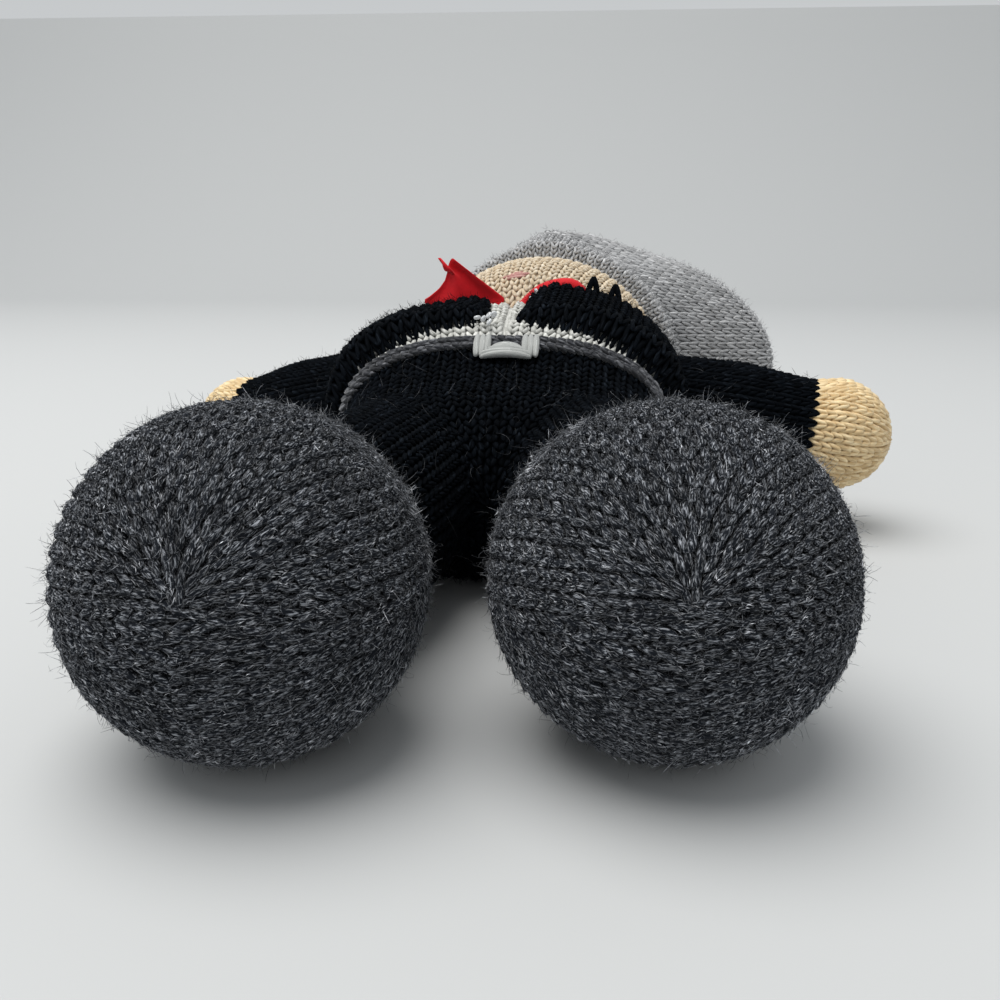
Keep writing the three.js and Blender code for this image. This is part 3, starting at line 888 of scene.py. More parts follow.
NAP = Fuzz(CHARCOAL_FIBRE, (0.0010, 0.0022), 0.00017, 4.0, 14.0, 20.0, 2)
HALO = Fuzz(CHARCOAL_FIBRE, (0.002, 0.0052), 0.00009, 32.0, 55.0, 120.0, 5)
BLACK_NAP = Fuzz(BLACK_FIBRE, (0.002, 0.0045), 0.00014, 26.0, 30.0, 50.0, 3)
CURLS = Fuzz(GREY_FIBRE, (0.005, 0.011), 0.00013, 18.0, 70.0, 190.0, 9)
HEATHER_NAP = Fuzz(HEATHER_FIBRE, (0.002, 0.004), 0.00018, 22.0, 30.0, 40.0, 2)


def add_yarn(mesh: bpy.types.Mesh, finish: YarnFinish, streak: np.ndarray, tint: np.ndarray) -> None:
    """Gives a mesh its yarn, and the attributes that the yarn's material reads.

    Args:
        mesh: The mesh.
        finish: Its yarn.
        streak: The yarn's own coordinates at each point.
        tint: Brightness at each point.
    """
    mesh.attributes.new("yarn_place", "FLOAT_VECTOR", "POINT")
    mesh.attributes["yarn_place"].data.foreach_set("vector", streak.astype(np.float32).ravel())
    mesh.attributes.new("yarn_tint", "FLOAT", "POINT")
    mesh.attributes["yarn_tint"].data.foreach_set("value", tint.astype(np.float32))
    mesh.materials.append(finish.material())


@dataclass
class Piece:
    """A knitted sub-assembly of the doll.

    Attributes:
        knitter: What lays its stitches.
        gauge: The size of those.
    """

    knitter: Knitter
    gauge: Gauge = field(default_factory=Gauge, kw_only=True)

    def black_fuzz(self, name: str, laid: Stitches, nap: int, curls: int) -> list[bpy.types.Object]:
        """Grows a black nap and grey curls.

        Args:
            name: The start of their objects' names.
            laid: The stitches that they grow from.
            nap: How many black fibres.
            curls: How many grey curls.

        Returns:
            The nap and the curls.
        """
        return [
            fuzz.grow(f"{name}_{kind}", laid, self.gauge, count, self.knitter.chance)
            for fuzz, kind, count in ((BLACK_NAP, "nap", nap), (CURLS, "curls", curls))
        ]

    @staticmethod
    def bending(cloth: list[bpy.types.Object], slot: str, body: str, start: Vector, end: Vector) -> None:
        """Bakes each piece of cloth's placement into its points.

        Args:
            cloth: The cloth and its fibres.
            slot: The record's material slot; not used.
            body: The body's name; not used.
            start: A point along the cloth; not used.
            end: A second point along the cloth; not used.
        """
        for part in cloth:
            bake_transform(part)


@dataclass
class Shoe(Piece):
    """A ball-shaped shoe, knitted outwards from a seam along its sole.

    Attributes:
        side: left or right.
        seam_top: Angle of the seam's gathered end above the middle of the sole, in degrees.
        seam_low: Angle of its other end below the middle of the sole, in degrees.
        covered: How far from the seam the stitches go, in degrees.
        nap: How many fibres lie along its yarn.
        halo: How many stand off it.
    """

    GIVE = 0.14
    FEWEST = 6

    side: str
    seam_top: float = 15.0
    seam_low: float = -95.0
    covered: float = 150.0
    nap: int = 30000
    halo: int = 3000

    def __post_init__(self) -> None:
        """Reads the shoe's middle and its half sizes off its solid."""
        low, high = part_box(f"{self.side}_shoe")
        self.radius = (high.x - low.x) / 2.0
        self.half = (high.z - low.z) / 2.0
        self.centre = Vector(((low.x + high.x) / 2.0, low.y + self.radius, (low.z + high.z) / 2.0))
        self.top, self.low = math.radians(self.seam_top), math.radians(self.seam_low)

    def build(self) -> None:
        """Builds the shoe and its fibres."""
        name, body = f"{self.side}_shoe", f"{self.side}_leg"
        stitches = self._stitches()
        base = bmesh.new()
        inside = self.radius - self.knitter.BASE_INSET
        bmesh.ops.create_uvsphere(base, u_segments=40, v_segments=28, radius=inside)
        bmesh.ops.translate(base, verts=base.verts, vec=self.centre)
        made = self.knitter.mesh(f"{name}_knit", stitches, self.gauge, CHARCOAL, Detail.NEAR, base)
        placed(made, body, [name])
        for fuzz, kind, count in ((NAP, "nap", self.nap), (HALO, "halo", self.halo)):
            fibres = fuzz.grow(f"{name}_{kind}", stitches, self.gauge, count, self.knitter.chance)
            placed(fibres, body, [])

    def _sides(self, away: float) -> tuple[float, float]:
        """Lengths of one straight side and of one end of the loop at an angle from the seam."""
        return max(0.0, (self.top - self.low) * math.cos(away)), math.pi * math.sin(away)

    def _stitches(self) -> Stitches:
        """Lays stitches in loops round the sole's seam.

        Returns:
            The stitches.
        """
        step = self.gauge.height / self.radius
        parts = []
        held = 0
        for loop in range(int(math.radians(self.covered) / step)):
            away = (loop + 0.5) * step
            straight, bend = self._sides(away)
            fit = 2.0 * (straight + bend) * self.radius / self.gauge.width
            if not held or abs(fit / held - 1.0) > self.GIVE:
                held = max(self.FEWEST, 2 * round(fit / 2.0))
            parts.append(self._loop(away, held, step))
        return Stitches.joined(parts)

    def _loop(self, away: float, count: int, height: float) -> Stitches:
        """One loop of stitches at one angle from the seam.

        Args:
            away: The loop's angle from the seam.
            count: How many stitches it has.
            height: A stitch's height, as an angle.

        Returns:
            The loop's stitches.
        """
        top, low = self.top, self.low
        straight, bend = self._sides(away)
        run = 2.0 * (straight + bend)
        share = (np.arange(count) + 0.5) / count * run
        part = np.digitize(share, (straight, straight + bend, 2.0 * straight + bend))
        side = max(straight, 1e-9)
        up, down = share / side, 1.0 - (share - straight - bend) / side
        turn = np.choose(part, (low + up * (top - low), top, low + down * (top - low), low))
        over = (share - straight) / bend * math.pi
        under = math.pi + (share - 2.0 * straight - bend) / bend * math.pi
        swing = np.choose(part, (0.0, over, math.pi, under))
        zero, one = np.zeros_like(turn), np.ones_like(turn)
        seam = np.stack([zero, -np.cos(turn), np.sin(turn)], axis=1)
        seam_up = np.stack([zero, np.sin(turn), np.cos(turn)], axis=1)
        seam_side = np.stack([one, zero, zero], axis=1)
        lead = np.cos(swing)[:, None] * seam_side + np.sin(swing)[:, None] * seam_up
        way = math.cos(away) * seam + math.sin(away) * lead
        grow = -math.sin(away) * seam + math.cos(away) * lead
        size = np.array([self.radius, self.radius, self.half])
        out = unit(way / size)
        growth = unit(grow * size - np.sum(grow * size * out, axis=1, keepdims=True) * out)
        place = np.array(self.centre) + way * size - self.knitter.STITCH_INSET * out
        across = unit(np.cross(growth, out))
        return Stitches(place, across * (run / count) * self.radius, growth * height * self.radius, out)


@dataclass
class Leg(Piece):
    """A trouser leg.

    Attributes:
        side: left or right.
        sign: 1 on the doll's left, -1 on its right.
        hip: Where its axis meets the hip seam.
        reach: Length from there to the middle of the shoe.
        splay: Angle of the leg from straight ahead, in degrees.
        hip_radius: Radius at the hip.
        knee_radius: Radius at the knee.
        ankle_radius: Radius at the ankle.
        knee: Where the knee lies, as a share of its reach.
        ankle: How far short of the middle of the shoe it ends.
        caps: How far its two ends round off beyond that.
        knitted: The stretch of it that has stitches, as shares of its length.
        tuck: How far it runs on inside the seat.
        bend_from: Where along it the cloth starts to follow the leg.
        bend_to: Where along it the cloth follows the leg fully.
        nap: How many black fibres stand off it.
        curls: How many grey curls lie on it.
    """

    side: str
    sign: float
    hip: Vector
    reach: float
    splay: float = 9.5
    hip_radius: float = 0.028
    knee_radius: float = 0.0285
    ankle_radius: float = 0.024
    knee: float = 0.4
    ankle: float = 0.024
    caps: tuple[float, float] = (0.01, 0.012)
    knitted: tuple[float, float] = (0.06, 0.94)
    tuck: float = 0.004
    bend_from: float = 0.004
    bend_to: float = 0.056
    nap: int = 1500
    curls: int = 90

    def build(self) -> None:
        """Builds the leg and its fibres."""
        angle = math.radians(self.splay) * self.sign
        axis = Vector((math.sin(angle), -math.cos(angle), 0.0))
        ankle = self.reach - self.ankle
        form = StuffedForm(
            [
                Section.round(-self.tuck, self.hip_radius),
                Section.round(self.knee * self.reach, self.knee_radius),
                Section.round(ankle, self.ankle_radius),
            ],
            (-self.tuck - self.caps[0], ankle + self.caps[1]),
            self.hip,
            axis,
        )
        laid = self.knitter.rounds(form, self.gauge, self.knitted, Lay.BACKWARD)
        made = self.knitter.cover(f"{self.side}_trouser_leg_knit", laid, self.gauge, BLACK, form)
        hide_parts(f"{self.side}_trouser_leg", f"{self.side}_leg_stuffing")
        fuzz = self.black_fuzz(f"{self.side}_leg", laid, self.nap, self.curls)
        start, end = (self.hip + axis * at for at in (self.bend_from, self.bend_to))
        self.bending([made, *fuzz], BLACK.slot, f"{self.side}_leg", start, end)


@dataclass
class Arm(Piece):
    """A sleeve and the mitten hand that it ends in.

    Attributes:
        side: left or right.
        sign: 1 on the doll's left, -1 on its right.
        shoulder: Where its axis meets the shoulder seam.
        turn: Angle of the arm towards the head, in degrees.
        droop: Angle of the arm towards the floor, in degrees.
        shoulder_radius: Radius at the seam.
        elbow_radius: Radius at the elbow.
        cuff_radius: Radius at the cuff.
        hand_radius: Radius of the hand.
        sleeve: Length of the sleeve.
        hand: Length of the hand beyond it.
        tuck: How far it is full inside the body.
        cap: How far inside the body it ends.
        bend: How far along it the cloth follows the arm fully.
        knitted: The stretch of it that has stitches, as shares of its length.
        overlap: How far the hand runs on inside the sleeve, likewise.
        nap: How many black fibres stand off the sleeve.
        curls: How many grey curls lie on it.
    """

    side: str
    sign: float
    shoulder: Vector
    turn: float
    droop: float
    shoulder_radius: float = 0.020
    elbow_radius: float = 0.0215
    cuff_radius: float = 0.0185
    hand_radius: float = 0.021
    sleeve: float = 0.055
    hand: float = 0.031
    tuck: float = 0.006
    cap: float = 0.014
    bend: float = 0.036
    knitted: tuple[float, float] = (0.1, 0.985)
    overlap: float = 0.02
    nap: int = 900
    curls: int = 30

    def build(self) -> None:
        """Builds the arm: the sleeve with its fibres, and the hand."""
        heading = math.radians(90.0 - self.turn) * -self.sign
        droop = math.radians(self.droop)
        axis = Vector((
            -math.sin(heading) * math.cos(droop),
            math.cos(heading) * math.cos(droop),
            -math.sin(droop),
        ))
        palm = self.sleeve + self.hand - self.hand_radius
        form = StuffedForm(
            [
                Section.round(-self.tuck, self.shoulder_radius),
                Section.round(self.sleeve / 2.0, self.elbow_radius),
                Section.round(self.sleeve, self.cuff_radius),
                Section.round(palm, self.hand_radius),
            ],
            (-self.cap, self.sleeve + self.hand),
            self.shoulder,
            axis,
        )
        cuff = form.share_at(self.sleeve)
        laid = self.knitter.rounds(form, self.gauge, (self.knitted[0], cuff), Lay.BACKWARD)
        sleeve = self.knitter.cover(f"{self.side}_sleeve_knit", laid, self.gauge, BLACK, form, (0.0, cuff))
        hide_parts(f"{self.side}_sleeve", f"{self.side}_arm_stuffing")
        fuzz = self.black_fuzz(f"{self.side}_sleeve", laid, self.nap, self.curls)
        end = self.shoulder + axis * self.bend
        self.bending([sleeve, *fuzz], BLACK.slot, f"{self.side}_arm", self.shoulder, end)
        laid = self.knitter.rounds(form, self.gauge, (cuff, self.knitted[1]), Lay.BACKWARD)
        span = (cuff - self.overlap, 1.0)
        hand = self.knitter.cover(f"{self.side}_hand_knit", laid, self.gauge, CREAM, form, span)
        placed(hand, f"{self.side}_arm", [f"{self.side}_hand"])


@dataclass(frozen=True)
class Stroke:
    """One straight sewn stitch: a plump lobe of yarn.

    Attributes:
        start: Its first end.
        end: Its other end.
        width: Its width on the surface.
        depth: Its thickness off the surface.
        out: The surface's outward direction.
        bow: How far its middle stands out from the line of its ends.
    """

    start: Vector
    end: Vector
    width: float
    depth: float
    out: Vector
    bow: float = 0.0


class Embroidery:
    """Sews straight stitches on a surface."""

    SIDES = 10
    RINGS = 9
    FULLNESS = 0.55

    def __init__(self, chance: np.random.Generator) -> None:
        """Keeps the source of chance."""
        self.chance = chance

    def sew(self, name: str, strokes: list[Stroke], finish: YarnFinish) -> bpy.types.Object:
        """Makes one object of sewn stitches.

        Args:
            name: The object's name.
            strokes: The stitches.
            finish: Their yarn.

        Returns:
            The object, at the origin.
        """
        made = bmesh.new()
        streaks, tints = [], []
        for stroke in strokes:
            run = stroke.end - stroke.start
            length = run.length / 2.0
            along = run.normalized()
            across = stroke.out.cross(along).normalized()
            out = along.cross(across).normalized()
            middle = (stroke.start + stroke.end) / 2.0
            lobe = bmesh.ops.create_uvsphere(made, u_segments=self.SIDES, v_segments=self.RINGS, radius=1.0)
            shift = Vector(self.chance.uniform(0.0, 1.0, 3))
            tints += [float(self.chance.uniform())] * len(lobe["verts"])
            for vertex in lobe["verts"]:
                x, y, z = vertex.co
                swell = max(1e-6, 1.0 - z * z) ** (self.FULLNESS / 2.0 - 0.5)
                wide = x * swell * stroke.width / 2.0
                deep = y * swell * stroke.depth / 2.0
                streaks.append(Vector((wide, z * length, deep)) + shift)
                rise = deep + stroke.bow * (1.0 - z * z)
                vertex.co = middle + along * (z * length) + across * wide + out * rise
        bmesh.ops.recalc_face_normals(made, faces=made.faces)
        return dressed(name, made, finish, np.array(streaks), np.array(tints))


def dressed(
    name: str, made: bmesh.types.BMesh, finish: YarnFinish, streak: np.ndarray, tint: np.ndarray
) -> bpy.types.Object:
    """Turns a bmesh into a yarn object.

    Args:
        name: The object's name.
        made: The bmesh, which is freed here.
        finish: Its yarn.
        streak: The yarn's own coordinates at each point.
        tint: Brightness at each point.

    Returns:
        The object, at the origin.
    """
    shown = to_object(name, made)
    add_yarn(shown.data, finish, streak, tint)
    return shown


def to_object(name: str, made: bmesh.types.BMesh) -> bpy.types.Object:
    """Turns a bmesh into a smooth object.

    Args:
        name: The object's name.
        made: The bmesh, which is freed here.

    Returns:
        The object, at the origin.
    """
    mesh = bpy.data.meshes.new(name)
    made.to_mesh(mesh)
    made.free()
    mesh.polygons.foreach_set("use_smooth", np.ones(len(mesh.polygons), dtype=bool))
    shown = bpy.data.objects.new(name, mesh)
    bpy.context.scene.collection.objects.link(shown)
    LOG.info("%s: %d faces", name, len(mesh.polygons))
    return shown


def spun(made: bmesh.types.BMesh, steps: int) -> None:
    """Spins an outline a full turn round +Y, and merges it where it meets itself.

    Args:
        made: What holds the outline.
        steps: How many faces the ring has round it.
    """
    bmesh.ops.spin(
        made,
        geom=made.verts[:] + made.edges[:],
        axis=(0.0, 1.0, 0.0),
        cent=(0.0, 0.0, 0.0),
        angle=FULL_TURN,
        steps=steps,
        use_merge=True,
    )
    bmesh.ops.remove_doubles(made, verts=made.verts, dist=1e-6)


def placed(made: bpy.types.Object, body: str, nodes: list[str]) -> None:
    """Hides the solids that a piece replaces, and attaches it to the body that it moves with.

    Args:
        made: The piece.
        body: The body's name.
        nodes: The solids that it replaces.
    """
    if nodes:
        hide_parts(*nodes)
    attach(made, body)


@dataclass
class Body(Piece):
    """The stuffed body: the trouser seat, the shirt and the belt.

    Attributes:
        seat_end: Where the seat's round end lies along the doll.
        hip: Where the seat is full.
        belt: Where the belt's middle lies.
        waist: Where the belt line ends.
        chest: Where the chest is full.
        shoulder: Where the shoulders start to round off.
        chest_end: Where the chest's round end lies.
        hip_half_width: Half the seat's width.
        hip_top: Height of the seat.
        waist_top: Height of the waist.
        chest_half_width: Half the chest's width.
        chest_low: Height of the chest's underside.
        chest_top: Height of the chest.
        belt_top: Height of the seat just below the belt.
        belt_fall: How far below the belt's middle that is.
        waist_low: Height of the waist's underside.
        hem: How far up from the chest the shirt has stitches all round.
        knitted: The stretch of the body that has stitches, as shares of its length.
        overlap: How far the seat and the shirt run on past the belt, likewise.
        belt_lift: How far the belt's yarn stands off the body.
        belt_gauge: The size of the belt's stitches.
        buckle_ends: Where the buckle's foot and head lie, from the belt's middle.
        buckle_yarn: Thickness of its yarn.
        buckle_lift: How far it stands off the body.
        buckle_aside: How far it lies to the doll's left.
        bulge: The shirt's bulge between the lapels.
        nap: How many black fibres stand off the seat.
        curls: How many grey curls lie on it.
    """

    seat_end: float = -0.086
    hip: float = -0.052
    belt: float = -0.0266
    waist: float = -0.020
    chest: float = -0.017
    shoulder: float = 0.016
    chest_end: float = 0.036
    hip_half_width: float = 0.058
    hip_top: float = 0.065
    waist_top: float = 0.0795
    chest_half_width: float = 0.062
    chest_low: float = 0.0048
    chest_top: float = 0.082
    belt_top: float = 0.0715
    belt_fall: float = 0.0065
    waist_low: float = 0.0027
    hem: float = 0.006
    knitted: tuple[float, float] = (0.01, 0.94)
    overlap: float = 0.01
    belt_lift: float = 0.0012
    belt_gauge: Gauge = Gauge(0.0027, 0.0030, 0.0026)
    buckle_ends: tuple[float, float] = (-0.0112, 0.0006)
    buckle_yarn: float = 0.0024
    buckle_lift: float = 0.0022
    buckle_aside: float = 0.0014
    bulge: Swell = Swell(87.0, 10.0, 0.015, 0.013, 0.0042)
    nap: int = 2600
    curls: int = 230

    def form(self, padding: Picker | None = None, warp: Surface | None = None) -> StuffedForm:
        """The body's stuffed form, from seat to chest, with any padding worn over it."""
        return StuffedForm(
            [
                Section(self.hip, self.hip_half_width, FLOOR, self.hip_top, 0.0, 2.5),
                Section(self.belt - self.belt_fall, self.hip_half_width, FLOOR, self.belt_top, 0.0, 2.5),
                Section(self.waist, self.hip_half_width, self.waist_low, self.waist_top, 0.0, 2.8),
                Section(self.chest, self.chest_half_width, self.chest_low, self.chest_top, 0.0, 3.0),
                Section(self.shoulder, self.chest_half_width, self.chest_low, self.chest_top, 0.0, 3.0),
            ],
            (self.seat_end, self.chest_end),
            Vector((0.0, 0.0, 0.0)),
            Vector((0.0, 1.0, 0.0)),
            (self.bulge,),
            padding,
            warp,
        )

    def build(self) -> None:
        """Builds the seat, the shirt, the belt and the buckle."""
        form = self.form()
        belt = form.share_at(self.belt)
        laid = self.knitter.rounds(form, self.gauge, (self.knitted[0], belt))
        span = (0.0, belt + self.overlap)
        seat = self.knitter.cover("trouser_seat_knit", laid, self.gauge, BLACK, form, span)
        placed(seat, "torso", ["trouser_seat", "body_stuffing"])
        for fibres in self.black_fuzz("trouser_seat", laid, self.nap, self.curls):
            placed(fibres, "torso", [])
        laid = self.knitter.rounds(form, self.gauge, (belt, self.knitted[1]))
        front = laid.place[:, 2] > (self.chest_low + self.chest_top) / 2.0
        hem = laid.place[:, 1] < self.chest + self.hem
        span = (belt - self.overlap, 1.0)
        shirt = self.knitter.cover("shirt_knit", laid.kept(front | hem), self.gauge, WHITE, form, span)
        placed(shirt, "torso", ["shirt_body"])
        self._belt(form)
        self._buckle(form)

    def on_front(self, form: StuffedForm, x: float, y: float, lift: float) -> Vector:
        """A point above the middle of the front.

        Args:
            form: The body's form.
            x: Its place across the doll.
            y: Its place along the doll.
            lift: How far it stands off the form.

        Returns:
            The point.
        """
        reach = np.array([form.share_at(y) * form.length])
        top = form.surface(np.array([math.pi / 2.0]), reach)[0]
        return Vector((x, y, float(top[2]) + lift))

    def _belt(self, form: StuffedForm) -> None:
        """Builds the belt: two wales of stitches that run round the waist.

        Args:
            form: The body's form.
        """
        parts = []
        for step in (-0.5, 0.5):
            reach = form.share_at(self.belt + step * self.belt_gauge.width) * form.length
            parts.append(self.knitter.hoop(form, reach, self.belt_gauge, self.belt_lift))
        made = self.knitter.mesh("waist_belt_knit", Stitches.joined(parts), self.belt_gauge, BELT)
        placed(made, "torso", ["waist_belt"])

    def _buckle(self, form: StuffedForm) -> None:
        """Sews the buckle over the belt: two uprights joined by a thick, arched lower bar.

        Args:
            form: The body's form.
        """
        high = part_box("belt_buckle")[1]
        out = Vector((0.0, -0.5, 0.86)).normalized()
        foot, head = (self.belt + at for at in self.buckle_ends)
        aside, yarn, lift = self.buckle_aside, self.buckle_yarn, self.buckle_lift
        strokes = []
        for sign in (-1.0, 1.0):
            for step in range(3):
                x = aside + sign * (high.x - yarn * (0.5 + 0.8 * step))
                start = self.on_front(form, x, foot + 0.0012, lift)
                end = self.on_front(form, x, head, lift + 0.0008)
                strokes.append(Stroke(start, end, yarn, yarn, out, 0.0005))
        for step, share in enumerate((0.78, 0.84, 0.74, 0.5)):
            y = foot + 0.0008 + 0.0017 * step
            half = high.x * share
            start = self.on_front(form, aside - half, y, lift)
            end = self.on_front(form, aside + half, y, lift)
            strokes.append(Stroke(start, end, yarn, yarn * 1.15, out, 0.0016))
        made = Embroidery(self.knitter.chance).sew("belt_buckle_yarn", strokes, BUCKLE)
        placed(made, "torso", ["belt_buckle"])


@dataclass
class Jacket(Piece):
    """The open jacket: a back and two plump fronts that round off to their edges.

    Attributes:
        body: The body that it is worn over.
        hem: Where the hem lies along the doll, at its middle and at its sides.
        hem_reach: How far across the doll it drops from one to the other.
        wall: The full depth of its padding.
        roll: How far in from the hem and the neck the padding is full.
        left_roll: How far in from the left front's inner edge it is.
        right_roll: How far in from the right front's.
        corner: Radius of the fronts' lower corners.
        collar: Where the collar lies along the doll.
        neck_radius: Radius of the neck opening.
        neck_height: Height of the neck's middle.
        left_edge: The left front's inner edge across the doll, at the hem and at the collar.
        right_edge: The right front's, likewise.
        puff: How far the left front, which is stuffed fuller, swells beyond that.
        puff_place: Where it does, across and along the doll.
        puff_reach: How far that spreads, across and along the doll.
        points: Where the collar's points stand: across the doll, and the height of their tips.
        nap: How many fibres stand off each panel.
    """

    FAR = 1.0
    KNITTED_TO = 0.985
    POINT_FEET = (-0.003, 0.0022)
    POINT_HEIGHT = 0.008
    POINT_YARN = (0.0024, 0.0022)

    body: Body
    hem: tuple[float, float] = (-0.0158, -0.0228)
    hem_reach: float = 0.046
    wall: float = 0.0065
    roll: float = 0.0065
    left_roll: float = 0.026
    right_roll: float = 0.019
    corner: float = 0.008
    collar: float = 0.023
    neck_radius: float = 0.036
    neck_height: float = 0.0434
    left_edge: tuple[float, float] = (0.0025, 0.0085)
    right_edge: tuple[float, float] = (-0.0045, -0.0085)
    puff: float = 0.008
    puff_place: tuple[float, float] = (0.031, 0.012)
    puff_reach: tuple[float, float] = (0.023, 0.024)
    points: tuple[tuple[float, float], ...] = ((0.0318, 0.0966), (0.0403, 0.0938))
    nap: int = 1000

    def form(self) -> StuffedForm:
        """The jacket's outer form, whose courses follow the hem."""
        bare = self.body.form()
        low, high = (bare.share_at(at) * bare.length for at in (self.hem[1], self.collar))

        def drawn(turn: np.ndarray, reach: np.ndarray) -> np.ndarray:
            """Lengths along the body of points on the jacket's own courses."""
            x = self.body.chest_half_width * np.abs(np.cos(turn)) ** (2.0 / 3.0)
            lift = (self.hem[0] - self.hem[1]) * (1.0 - self._drop(x, np.sin(turn) > 0.0))
            return reach + lift * np.clip((high - reach) / (high - low), 0.0, 1.0)

        return self.body.form(self._depth, drawn)

    def _drop(self, x: np.ndarray, upper: np.ndarray) -> np.ndarray:
        """How far the hem has dropped from its middle to its sides, as a share."""
        return np.where(upper, np.clip(np.abs(x) / self.hem_reach, 0.0, 1.0) ** 1.3, 1.0)

    def build(self) -> None:
        """Builds the jacket's panels, and the points on its collar."""
        form = self.form()
        span = (form.share_at(self.hem[1]), self.KNITTED_TO)
        for name in ("jacket_back", "jacket_left_front", "jacket_right_front"):
            worn = self._panel(name)
            laid = self.knitter.rounds(form, self.gauge, span, worn=worn)
            # The form under each panel's stitches takes the darkest tone: painted shade between the stitches.
            base_with_painted_shade = form.base_mesh(self.knitter.BASE_INSET, span, 120, worn)
            made = self.knitter.mesh(f"{name}_knit", laid, self.gauge, BLACK, base=base_with_painted_shade)
            placed(made, "torso", [name])
            nap = BLACK_NAP.grow(f"{name}_nap", laid, self.gauge, self.nap, self.knitter.chance)
            placed(nap, "torso", [])
        self._points()

    def _edges(self, place: np.ndarray) -> tuple[np.ndarray, np.ndarray, np.ndarray]:
        """How far points of the body lie inside the jacket's edges, and below zero beyond them.

        Args:
            place: Points on the body.

        Returns:
            Lengths from the hem, from the opening and from the neck.
        """
        x, y, z = place.T
        upper = z > self.neck_height
        hem = y - self.hem[0] - self._drop(x, upper) * (self.hem[1] - self.hem[0])
        run = np.clip((y - self.hem[0]) / (self.collar - self.hem[0]), 0.0, 1.0)
        left = x - (self.left_edge[0] + run * (self.left_edge[1] - self.left_edge[0]))
        right = self.right_edge[0] + run * (self.right_edge[1] - self.right_edge[0]) - x
        opening = np.where(upper, np.maximum(left, right), self.FAR)
        short = [np.maximum(self.corner - inside, 0.0) for inside in (hem, opening)]
        opening = np.minimum(opening, self.corner - np.hypot(*short))
        neck = np.hypot(x, z - self.neck_height) - self.neck_radius + np.maximum(self.body.shoulder - y, 0.0)
        return hem, opening, neck

    def _depth(self, place: np.ndarray) -> np.ndarray:
        """Depth of the jacket's padding over points of the body."""
        across = (place[:, 0] - self.puff_place[0]) / self.puff_reach[0]
        along = (place[:, 1] - self.puff_place[1]) / self.puff_reach[1]
        front = np.clip((place[:, 2] - self.neck_height) / self.roll, 0.0, 1.0)
        depth = self.wall + self.puff * front * np.exp(-(across**2) - along**2)
        rolls = (self.roll, np.where(place[:, 0] > 0.0, self.left_roll, self.right_roll), self.roll)
        for inside, roll in zip(self._edges(place), rolls):
            short = 1.0 - np.clip(inside / roll, 0.0, 1.0)
            depth = depth * np.sqrt(1.0 - short * short)
        return depth

    def _panel(self, name: str) -> Picker:
        """What tells which points of the body one panel covers.

        Args:
            name: The panel's node.

        Returns:
            A function of points.
        """

        def worn(place: np.ndarray) -> np.ndarray:
            """True for each point that the panel covers."""
            upper = place[:, 2] > self.neck_height
            left = place[:, 0] > 0.0
            share = {
                "jacket_back": ~upper,
                "jacket_left_front": upper & left,
                "jacket_right_front": upper & ~left,
            }[name]
            return share & (np.min(self._edges(place), axis=0) > 0.0)

        return worn

    def _points(self) -> None:
        """Sews the two pointed stitches that stand on the left front's collar."""
        strokes = []
        for x, top in self.points:
            for lean in self.POINT_FEET:
                foot = Vector((x + lean, self.body.shoulder, top - self.POINT_HEIGHT))
                tip = Vector((x + 0.0004, self.body.shoulder + 0.002, top))
                strokes.append(Stroke(foot, tip, *self.POINT_YARN, Vector((0.0, -1.0, 0.3))))
        made = Embroidery(self.knitter.chance).sew("jacket_collar_points", strokes, BLACK)
        placed(made, "torso", [])


@dataclass(frozen=True)
class ClothFinish:
    """The look of a fine woven cloth.

    Attributes:
        name: The material's name.
        slot: The record's material slot; not used.
        dark: Linear colour of its darkest threads.
        light: Linear colour of its lightest threads.
        threads: Threads to the metre.
        relief: Strength of the weave's bump.
    """

    WAVE = 20.0 / FULL_TURN
    RISE = 0.0002

    name: str
    slot: str
    dark: tuple[float, float, float]
    light: tuple[float, float, float]
    threads: float = 1800.0
    relief: float = 0.3

    def material(self) -> bpy.types.Material:
        """Builds the cloth's material, or returns the one that exists.

        Returns:
            A material whose weave follows the cloth through the yarn_place attribute.
        """
        found = bpy.data.materials.get(self.name)
        if found:
            return found
        made = Shading(self.name, {"Roughness": 0.7, "Specular IOR Level": 0.2, "Sheen Weight": 0.1})
        place = made.node("Attribute", attribute_name="yarn_place")
        weave = made.node("Math", operation="MAXIMUM")
        wave = {"Scale": self.threads / self.WAVE, "Distortion": 0.6}
        for slot, way in enumerate(("X", "Y")):
            thread = made.node("TexWave", wave, bands_direction=way)
            made.link(place, "Vector", thread, "Vector")
            made.link(thread, "Fac", weave, slot)
        dye = made.node("TexNoise", {"Scale": 260.0, "Detail": 4.0})
        colour = made.node("Mix", {"A": (*self.dark, 1.0), "B": (*self.light, 1.0)}, data_type="RGBA")
        bump = made.node("Bump", {"Strength": self.relief, "Distance": self.RISE})
        made.link(place, "Vector", dye, "Vector")
        made.link(dye, "Fac", colour, "Factor")
        made.link(colour, "Result", made.shader, "Base Color")
        made.link(weave, "Value", bump, "Height")
        made.link(bump, "Normal", made.shader, "Normal")
        return made.material


RED = ClothFinish("red_cloth", "red_cotton", (0.48, 0.004, 0.008), (0.7, 0.007, 0.016))


